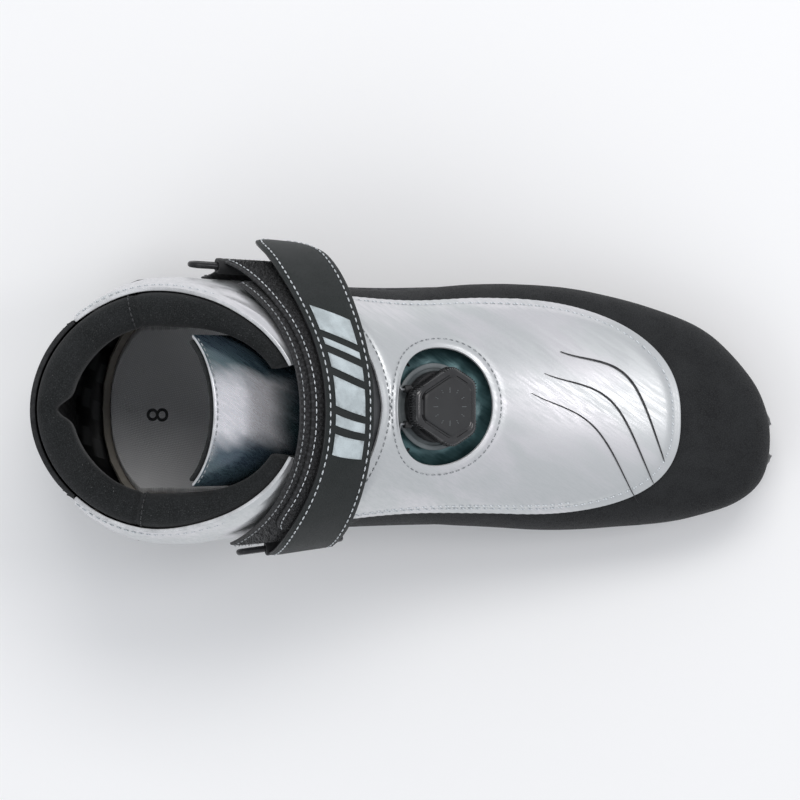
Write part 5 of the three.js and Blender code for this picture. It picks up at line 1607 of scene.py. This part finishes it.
def straps():
    bend = BARS_APART / 2
    lateral, medial = Ring("lateral", RETURN_START), Ring("medial", FLAP_START)
    ring_wire("lateral", lateral)
    ring_wire("medial", medial)

    wide = lambda v: PAD_WIDTH + 0 * v
    flat = lambda v: PAD_LOW + 0 * v
    dress(strap("instep_pad", -0.37, 0.33, PAD_START, wide, flat, STRAP, [TAPE, BINDING]), "boot", "webbing",
          "strap_pad")
    top = lambda v: PAD_LOW + STRAP + 0.2 + 0 * v
    strap_nap("instep_pad_nap", -0.365, 0.325, PAD_START, wide, top, "boot", (0.05, 0.95), density=1.7,
              fibre=0.9, seed=5)
    sew("instep_pad_stitches", [strap_row(-0.36, 0.32, PAD_START, wide, lambda v: top(v) + 0.35, k, 1.6)
                                for k in (-1, 1)],
        SHADE_THREAD, pitch=2.6, length=1.9, thread=0.24)

    end = lateral.v - bend / lateral.per_v
    low = lambda v: lerp(RETURN_LOW, LOOP_LOW, smooth(v, 0.2, end))
    narrow = lambda v: STRAP_WIDTH * np.where(v > -0.2, 1,
                                              np.sqrt(np.maximum(1 - ((v + 0.2) / 0.078) ** 2, 0.12)))
    dress(strap("return_strap", -0.27, end, RETURN_START, narrow, low, STRAP, [TAPE, TAPE]), "boot",
          "webbing", "strap_return")
    strap_loop("return_loop", lateral, -bend, STRAP_WIDTH, "boot", "webbing")
    above = lambda v: low(v) + STRAP + 0.2
    strap_nap("return_nap", -0.265, end - 0.01, RETURN_START, narrow, above, "boot", (0.04, 0.96),
              density=2.3, fibre=1.0, seed=8)
    sew("return_stitches", [strap_row(-0.26, end - 0.01, RETURN_START, narrow, lambda v: above(v) + 0.4, k,
                                      1.7) for k in (-1, 1)],
        THREAD, pitch=2.7, length=2.0, thread=0.24)

    start = medial.v + bend / medial.per_v
    flap_low = lambda v: (FLAP_LOW + 10 * smooth(v, 0.12, 0.6) + (LOOP_LOW - FLAP_LOW) * smooth(-v, 0.2,
                                                                                                -start))
    taper = lambda v: STRAP_WIDTH * np.where(v < 0.4, 1,
                                             np.sqrt(np.maximum(1 - ((v - 0.4) / 0.115) ** 2, 0.05)))
    flap = strap("closing_flap", start, 0.51, FLAP_START, taper, flap_low, STRAP, [STRAP_FACE, BINDING],
                 0.35, 150, 22)
    dress(flap, "strap_flap", "strap_face", "strap_flap")
    strap_loop("flap_loop", medial, -bend, STRAP_WIDTH, "strap_flap", "strap_face")
    face = lambda v: flap_low(v) + STRAP + 0.32
    rows = [strap_row(start + 0.01, 0.5, FLAP_START, taper, face, k, 2.4) for k in (-1, 1)]
    sew("flap_stitches", rows, THREAD, "strap_flap", pitch=3.3, length=2.3, thread=0.3)
    hook_low = lambda v: flap_low(v) - GAP - HOOK
    dress(strap("hook_tape", -0.16, 0.34, FLAP_START, lambda v: STRAP_WIDTH - 2.5 + 0 * v, hook_low,
                HOOK + 0.2, [PILE, PILE], 0.0, 60, 10),
          "strap_flap", "webbing", "hook_patch")
    s, t = grid_places(70, 6)
    under = strap_points(s, lerp(0.03, 0.97, t), start + 0.03, 0.49, FLAP_START, taper, lambda v,
                         tt: flap_low(v) - 0.02)
    faces = grid_faces(70, 6)
    a, b, c = (under[i] for i in faces[len(faces) // 2][:3])
    if np.dot(np.cross(b - a, c - a), (0, 0, 1)) > 0:
        faces = [f[::-1] for f in faces]
    nap("flap_lining_nap", under, faces, "strap_flap", density=1.3, fibre=0.9, lean=1.0, seed=13)
    flap_bars(flap_low, taper)

    for name, ring, line in (("lateral", lateral, RETURN_START), ("medial", medial, FLAP_START)):
        sign = np.sign(ring.v)
        v0, v1 = ring.v + sign * bend / ring.per_v, ring.v + sign * (bend + 15) / ring.per_v
        low_end = BAR_OFFSET - BARREL
        tab_low = lambda v: lerp(low_end, 0.6, smooth(np.abs(v - v0), 0, abs(v1 - v0) * 0.6))
        tab = strap(f"anchor_tab_{name}", v0, v1, line, lambda v: STRAP_WIDTH - 3 + 0 * v, tab_low, STRAP,
                    [TAPE, TAPE], 0.1, 30, 14)
        dress(tab, "boot", "webbing", f"ring_anchor_{name}")
        strap_loop(f"anchor_loop_{name}", ring, bend, STRAP_WIDTH - 3, "boot", "webbing")
        s = np.linspace(0.08, 0.92, 30)
        width = lambda v: STRAP_WIDTH - 3 + 0 * v
        at = lambda v, tt: tab_low(v) + STRAP + 0.15
        box = [strap_points(np.full(30, a), s, v0, v1, line, width, at) for a in (0.62, 0.92)]
        box += [strap_points(lerp(0.62, 0.92, s), np.full(30, b), v0, v1, line, width, at)
                for b in (0.08, 0.92)]
        box += [strap_points(lerp(0.62, 0.92, s), lerp(a, 1 - a, s), v0, v1, line, width, at)
                for a in (0.08, 0.92)]
        sew(f"anchor_stitches_{name}", box, DARK_THREAD, pitch=2.2, length=1.7, thread=0.26)


def flap_bars(low, taper):
    """A plain decoration on the flap: slanted pale bars of several lengths."""
    points, faces, uv = [], [], []
    for v0, long in ((-0.085, 0.036), (-0.035, 0.018), (-0.003, 0.05), (0.062, 0.026), (0.104, 0.014),
                     (0.134, 0.055)):
        s, t = grid_places(8, 10)
        begin = len(points)
        v = v0 + s * long + (t - 0.5) * 0.022
        width = taper(v)
        middle = strap_line(FLAP_START, v)
        _, _, per_u, _ = directions(middle, v)
        across = lerp(-0.30, 0.30, t) * width
        points.extend(skin(middle + across / per_u, v, low(v) + STRAP + 0.62))
        uv.extend(np.stack([s, t], 1))
        faces.extend(tuple(begin + i for i in f) for f in grid_faces(8, 10))
    points = np.array(points)
    centre_normal = np.array([0.3, 0.0, 0.95])
    obj = between("flap_bars", points, points - centre_normal * 0.3, faces, [PRINT, PRINT], np.array(uv), 0)
    dress(obj, "strap_flap", "strap_face")


# ------------------------------------------------------------------ dial and lace
DIAL_ORIGIN = skin(np.array([DIAL_U]), np.array([0.0]))[0]
DIAL_OUT = skin_normal(np.array([DIAL_U]), np.array([0.0]))[0]
DIAL_TILT = math.atan2(DIAL_OUT[0], DIAL_OUT[2])
DIAL_AXES = np.array([[math.cos(DIAL_TILT), 0, -math.sin(DIAL_TILT)], [0, 1, 0],
                      [math.sin(DIAL_TILT), 0, math.cos(DIAL_TILT)]])
FLOOR_Z = -UNDERLAY_DEPTH + 0.95
BASE = 1.2
CUP_Z = FLOOR_Z + BASE + 0.3
CUP_TOP = 1.4
SPOOL_Z = CUP_Z + 1 + 0.3
SPOOL_TOP = SPOOL_Z + 0.6 + 1.8 + 0.6
DISC_Z = max(SPOOL_TOP + 0.3 + 0.4, CUP_TOP) + 0.3
DISC_TOP = DISC_Z + 1
HEAD_TOP = DISC_TOP + 2.2 + 0.3 + 0.8
CAP_Z = HEAD_TOP + 0.3
HOUSING = 14.0
LACE_RADIUS = 0.6
LACE_Y = 6 + LACE_RADIUS + 0.3
LACE_Z = SPOOL_Z + 0.6 + 0.9


def in_dial(points):
    return DIAL_ORIGIN + np.asarray(points, float) @ DIAL_AXES


def blunt_triangle(angle, flat, corner, soft=16.0):
    """Reach of a triangle with cut, rounded corners: flat sides at 0, 120 and 240 degrees."""
    total = 0.0
    for k in range(6):
        facing = max(math.cos(angle - k * math.pi / 3), 0.0)
        total += (facing / (flat if k % 2 == 0 else corner)) ** soft
    return total ** (-1 / soft)


def knob_loft(name, levels, material, sides=144):
    """A knob piece from outlines one above another: [flat, corner, z] each, inner outline last."""
    points = []
    for flat, corner, z in levels:
        for k in range(sides):
            angle = 2 * math.pi * k / sides
            reach = blunt_triangle(angle, flat, corner)
            points.append((reach * math.cos(angle), reach * math.sin(angle), z))
    rows = len(levels)
    faces = [f for f in grid_faces(rows - 1, sides, loop=True)]
    faces.append(tuple(range(sides)))
    faces.append(tuple((rows - 1) * sides + k for k in range(sides)))
    return righted(make(name, in_dial(points), faces, [material]))


def dial():
    bore = 2.2
    base = [(bore, FLOOR_Z), (16.2, FLOOR_Z), (17, FLOOR_Z + 0.35), (17, FLOOR_Z + 0.9),
            (16.4, FLOOR_Z + BASE),
            (15.2, FLOOR_Z + BASE), (15, FLOOR_Z + BASE - 0.3), (bore, FLOOR_Z + BASE - 0.3)]
    dress(turned("dial_base_ring", base, 96, [GREY], in_dial, None, 0.12), "boot", "dial_grey", "dial_base")
    inner = HOUSING - 1.4
    ribs = lambda r, z, a: (0.22 * max(math.cos(36 * a), 0)
                            if r > inner + 0.9 and z > CUP_Z + 1.2 and z < CUP_TOP - 0.3 else 0.0)
    cup = [(bore, CUP_Z), (HOUSING - 0.5, CUP_Z), (HOUSING, CUP_Z + 0.5), (HOUSING, CUP_Z + 1.0),
           (HOUSING - 0.25, CUP_Z + 1.3),
           (HOUSING - 0.25, CUP_TOP - 0.5), (HOUSING, CUP_TOP - 0.25), (HOUSING - 0.1, CUP_TOP),
           (inner + 0.15, CUP_TOP),
           (inner, CUP_TOP - 0.2), (inner, CUP_Z + 1), (bore, CUP_Z + 1)]
    dress(turned("dial_cup", cup, 216, [SATIN], in_dial, ribs, 0), "boot", "dial_plastic", "dial_housing")
    lug = []
    for side in (1, -1):
        path = in_dial([(-HOUSING + 1.2, side * LACE_Y, LACE_Z), (-HOUSING - 1.6, side * LACE_Y, LACE_Z)])
        obj = tube(f"lace_port_{'lateral' if side > 0 else 'medial'}", evened(path, 0.4), 1.55, 20, SATIN,
                   profile=lambda k, a: 1 - 0.12 * (k > 5))
        lug.append(dress(obj, "boot", "dial_plastic"))
    low, top = CUP_TOP + 0.3, CAP_Z + 1.5
    grip = [(12.6, 14.6, low), (12.95, 15.1, low + 0.35), (12.95, 15.1, low + 1.0), (12.6, 14.75, low + 1.5),
            (12.65, 14.8, top - 1.6),
            (12.2, 14.3, top - 0.9), (11.4, 13.3, top - 0.62), (10.6, 12.3, top - 0.62),
            (10.3, 12.0, top - 0.9), (9.6, 11.2, top - 0.9)]
    dress(knob_loft("knob_rim", grip, GLOSS), "dial_knob", "dial_plastic", "knob_grip")
    plate = [(9.55, 11.1, top - 1.6), (9.55, 11.1, top - 0.35), (9.2, 10.7, top - 0.05), (8.6, 10.0, top),
             (0.4, 0.45, top + 0.12)]
    dress(knob_loft("knob_plate", plate, SATIN), "dial_knob", "dial_plastic", "knob_core")
    marks = []
    for k in range(12):
        angle = math.pi / 6 * k
        reach = 6.3 if k % 3 else 5.6
        line = np.array([(r * math.cos(angle), r * math.sin(angle), top + 0.02)
                         for r in np.linspace(reach, 7.2, 6)])
        marks.append(in_dial(line))
    sew("knob_marks", marks, GREY, "dial_knob", pitch=0.5, length=0.6, thread=0.11)
    grips = []
    for k in range(90):
        angle = 2 * math.pi * k / 90
        reach = blunt_triangle(angle, 12.72, 14.87)
        if blunt_triangle(angle, 12.72, 14.87) > 13.6:
            grips.append(in_dial([(reach * math.cos(angle), reach * math.sin(angle), z)
                                  for z in np.linspace(low + 1.3, top - 1.5, 6)]))
    sew("knob_grip_ribs", grips, GLOSS, "dial_knob", pitch=0.6, length=0.9, thread=0.24)


LACE_HALF = [(9.3, 0.145), (9.02, 0.22), (8.6, 0.24), (8.15, 0.205), (7.82, 0.11)]


def lace():
    reach = np.array([0, 0.4, 0.8, 1, 1.22]) * -HOUSING
    start = [in_dial((x, LACE_Y, LACE_Z)) for x in reach]
    finish = [in_dial((x, -LACE_Y, LACE_Z)) for x in reach[::-1]]
    lift = LACE_RADIUS + 0.35 + 0.9 + 0.35
    on = lambda u, v: skin(np.array(u), np.array(v), underlay_top(np.array(u), np.array(v)) + lift)
    lateral = [on(u, v) for u, v in LACE_HALF]
    medial = [on(u, -v) for u, v in LACE_HALF]
    points = np.array([*start, *lateral, on(7.72, 0.0), *medial[::-1], *finish])
    path = evened(spline(points, 24), 0.45)
    strands = lambda k, a: 0.94 + 0.06 * math.cos(6 * a - k * 0.9)
    obj = tube("lace_wire", path, LACE_RADIUS, 14, LACE, profile=strands)
    dress(obj, "boot", "steel", "lace")
    for name, k in (("lateral_rear", 5), ("lateral_front", 8), ("medial_rear", 15), ("medial_front", 12)):
        centre = points[k]
        near = int(np.argmin(np.linalg.norm(path - centre, axis=1)))
        ahead = path[near + 3] - path[near - 3]
        ahead /= np.linalg.norm(ahead)
        side = np.cross(ahead, (0, 0, 1))
        side /= np.linalg.norm(side)
        over = np.cross(side, ahead)
        to_world = lambda p: path[near] + np.outer(p[:, 0], side) + np.outer(p[:, 1],
                                                                             over) + np.outer(p[:, 2], ahead)
        bore, wall = LACE_RADIUS + 0.3, LACE_RADIUS + 1.15
        corners = [(bore + 0.15, -2.1), (wall - 0.25, -2.1), (wall, -1.7), (wall - 0.15, -0.8),
                   (wall - 0.15, 0.8), (wall, 1.7),
                   (wall - 0.25, 2.1), (bore + 0.15, 2.1), (bore, 1.8), (bore, -1.8)]
        dress(turned(f"guide_{name}", corners, 28, [GLOSS], to_world, None, 0), "boot", "dial_plastic",
              f"lace_guide_{name}")
        band = []
        for turn in np.linspace(-0.15 * math.pi, 1.15 * math.pi, 24):
            band.append(path[near] + side * 2.1 * math.cos(turn) + over * 2.1 * math.sin(turn))
        foot = [band[0] - over * 2.2 + side * 1.4, *band, band[-1] - over * 2.2 - side * 1.4]
        dress(tube(f"guide_loop_{name}", evened(foot, 0.5), 0.45, 10, BINDING, up=ahead), "boot",
              "dial_plastic")


straps()
dial()
lace()


# ------------------------------------------------------------------ sole
# x, lateral y, medial y of the sole's edge, toe first.
SOLE_EDGE = [
    (150.5, -16, -16), (149, -4.6, -28), (144.5, 6.2, -36), (136, 17.2, -42.2), (124, 27.8, -46.2),
    (106, 35.4, -49),
    (80, 41.5, -50.3), (50, 43, -49.4), (18, 37.5, -44), (-16, 31, -37.5), (-52, 29, -35), (-86, 31, -35.5),
    (-114, 31, -34), (-132, 24, -27), (-141, 12, -15), (-143.5, -1.5, -1.5),
]
TREAD = 3.0
SOLE_TURN = math.atan2(-11.5, 285)
GROOVE_WIDTH, GROOVE_OFFSET, GROOVE_DEPTH = 9.0, 12.0, 1.8


def sole_outline(shrink=0.0):
    lateral = [(x, y) for x, y, _ in SOLE_EDGE]
    medial = [(x, y) for x, _, y in SOLE_EDGE[1:-1]][::-1]
    corners = np.array([*lateral, *medial], float)
    ring = np.vstack([corners[-3:], corners, corners[:4]])
    line = spline(ring, 10)[30:-31]
    outward = np.stack([line[:, 0], (line[:, 1] + 3) * 2], 1)
    outward = outward / np.hypot(outward[:, 0], outward[:, 1])[:, None]
    return line - shrink * outward


def stacked(name, levels, materials):
    """A closed piece from sole outlines one above another: [shrink, z] each."""
    outlines = [sole_outline(shrink) for shrink, _ in levels]
    count = len(outlines[0])
    points = np.vstack([np.column_stack([line, np.full(count, z)]) for line,
                        (_, z) in zip(outlines, levels)])
    rows = len(levels)
    faces = grid_faces(rows - 1, count, loop=True)
    faces.append(tuple(range(count)))
    faces.append(tuple((rows - 1) * count + k for k in range(count)))
    return righted(make(name, points, faces, materials))


def box_at(x0, x1, y0, y1, z0, z1, along_sole=True):
    corners = np.array([(x, y, z) for z in (z0, z1) for y in (y0, y1) for x in (x0, x1)], float)
    faces = [(0, 1, 3, 2), (4, 6, 7, 5), (0, 4, 5, 1), (2, 3, 7, 6), (0, 2, 6, 4), (1, 5, 7, 3)]
    if along_sole:
        c, n = math.cos(SOLE_TURN), math.sin(SOLE_TURN)
        x, y = corners[:, 0] - BAR_CENTRE[0], corners[:, 1].copy()
        corners[:, 0] = x * c - y * n + BAR_CENTRE[0]
        corners[:, 1] = x * n + y * c + BAR_CENTRE[1]
    return corners, faces


def cut_by(obj, tools, operation="DIFFERENCE"):
    for points, faces in tools:
        tool = righted(make("tool", points, faces, []))
        step = obj.modifiers.new("cut", "BOOLEAN")
        step.operation = operation
        step.solver = "MANIFOLD"
        step.object = tool
        settled(obj)
        mesh = tool.data
        bpy.data.objects.remove(tool)
        bpy.data.meshes.remove(mesh)
    return obj


def wedge(profile):
    """A cutter that runs right across the sole, from corners in x and z."""
    points = [(x, y, z) for y in (-90, 90) for x, z in profile]
    n = len(profile)
    faces = [(k, (k + 1) % n, n + (k + 1) % n, n + k) for k in range(n)]
    return np.array(points, float), [*faces, tuple(range(n))[::-1], tuple(range(n, 2 * n))]


def last_tool(offset, u_end, rows, cols):
    s, t = grid_places(rows, cols, loop=True)
    points = skin(u_end * s, 2 * t - 1, offset)
    faces = grid_faces(rows, cols, loop=True)
    ends = [tuple(range(cols)), tuple(rows * cols + k for k in range(cols))]
    return points, [*faces, *ends]


def bar_bore(radius, length, sides=24):
    ring = [(radius * math.cos(2 * math.pi * k / sides), radius * math.sin(2 * math.pi * k / sides))
            for k in range(sides)]
    c, n = math.cos(SOLE_TURN), math.sin(SOLE_TURN)
    points = []
    for y in (-length / 2, length / 2):
        for x, z in ring:
            points.append((x * c - y * n + BAR_CENTRE[0], x * n + y * c + BAR_CENTRE[1], z + BAR_CENTRE[2]))
    faces = [(k, (k + 1) % sides, sides + (k + 1) % sides, sides + k) for k in range(sides)]
    return np.array(points), [*faces, tuple(range(sides))[::-1], tuple(range(sides, 2 * sides))]


def chassis():
    levels = [(1.1, TREAD), (0.3, TREAD + 0.5), (0, TREAD + 1.2), (0, 7.2), (0.55, 7.5), (0.55, 8.0),
              (0, 8.3), (-0.15, 10.0),
              (0, 11.6), (0.45, 11.9), (0.45, 12.3), (0.1, 12.6), (0.3, 20), (0.8, 32)]
    obj = stacked("sole_body", levels, [SOLE])
    arch = [(34, -1), (28, 2), (22, 5.6), (14, 7.6), (4, 8.5), (-12, 10.4), (-28, 11), (-40, 10.9),
            (-50, 10), (-58, 7.2), (-64, 2), (-70, -1)]
    toe = [(112, 1), (160, 1), (160, 7), (136, 4.9), (112, 3)]
    grooves = [box_at(-588, BAR_CENTRE[0], y - GROOVE_WIDTH / 2, y + GROOVE_WIDTH / 2, -1,
                      TREAD + GROOVE_DEPTH)
               for y in (-GROOVE_OFFSET, GROOVE_OFFSET)]
    pocket = box_at(BAR_CENTRE[0] - 8, BAR_CENTRE[0] + 8, -17, 17, -1, 10)
    cut_by(obj, [last_tool(3.3, 13.0, 100, 96), wedge(arch), wedge(toe), *grooves, pocket,
                 bar_bore(2.2, 44.4)])
    obj.data.shade_smooth()
    obj.data.set_sharp_from_angle(angle=math.radians(32))
    dress(obj, "boot", "sole_plastic", "sole_chassis")


def treads():
    inner = GROOVE_OFFSET + GROOVE_WIDTH / 2
    for zone, (heel_x, toe_x) in (("forefoot", (44, 116)), ("heel", (-136, -72))):
        for name, side in (("lateral", 1), ("medial", -1)):
            obj = stacked(f"tread_block_{zone}_{name}",
                          [(1.9, 0), (1.35, 0.35), (1.2, 0.8), (1.2, TREAD - 0.3)], [RUBBER])
            y0, y1 = (inner, 99) if side > 0 else (-99, -inner)
            cut_by(obj, [box_at(heel_x, toe_x, y0, y1, -1, TREAD + 1)], "INTERSECT")
            points, faces = [], []
            x = heel_x + 6.0
            start, end = (inner + 4, inner + 13) if side > 0 else (-inner - 13, -inner - 4)
            while x < toe_x - 6:
                corners, quads = box_at(x, x + 2.6, start, end, -1, 1.4)
                faces.extend(tuple(len(points) + i for i in q) for q in quads)
                points.extend(corners)
                x += 9
            cut_by(obj, [(np.array(points), faces)])
            obj.data.shade_smooth()
            obj.data.set_sharp_from_angle(angle=math.radians(30))
            dress(obj, "boot", "rubber", f"tread_{zone}_{name}")


def carbon_shell():
    def at(s, t):
        u = lerp(0.7, shell_rear(lerp(0.64, 1.36, t)), s)
        edge = np.interp(u, np.arange(len(SHELL_EDGE)), SHELL_EDGE)
        return u, lerp(edge, 2 - edge, t)
    obj = layer("carbon_cup", 120, 120, at, 1.15, 3.15, [CARBON, CARBON], edge_width=0.5)
    dress(obj, "boot", "carbon", "carbon_shell")


def finish_cad_nodes():
    for node, finish in (("toe_bar", STEEL), ("insole_board", BOARD), ("toe_puff", BOARD),
                         ("heel_counter", BOARD),
                         ("lace_spool", GREY), ("detent_spring", STEEL), ("drive_disc", GREY),
                         ("dial_screw", STEEL)):
        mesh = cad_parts[node].data
        mesh.materials.clear()
        mesh.materials.append(finish)


chassis()
treads()
carbon_shell()
finish_cad_nodes()
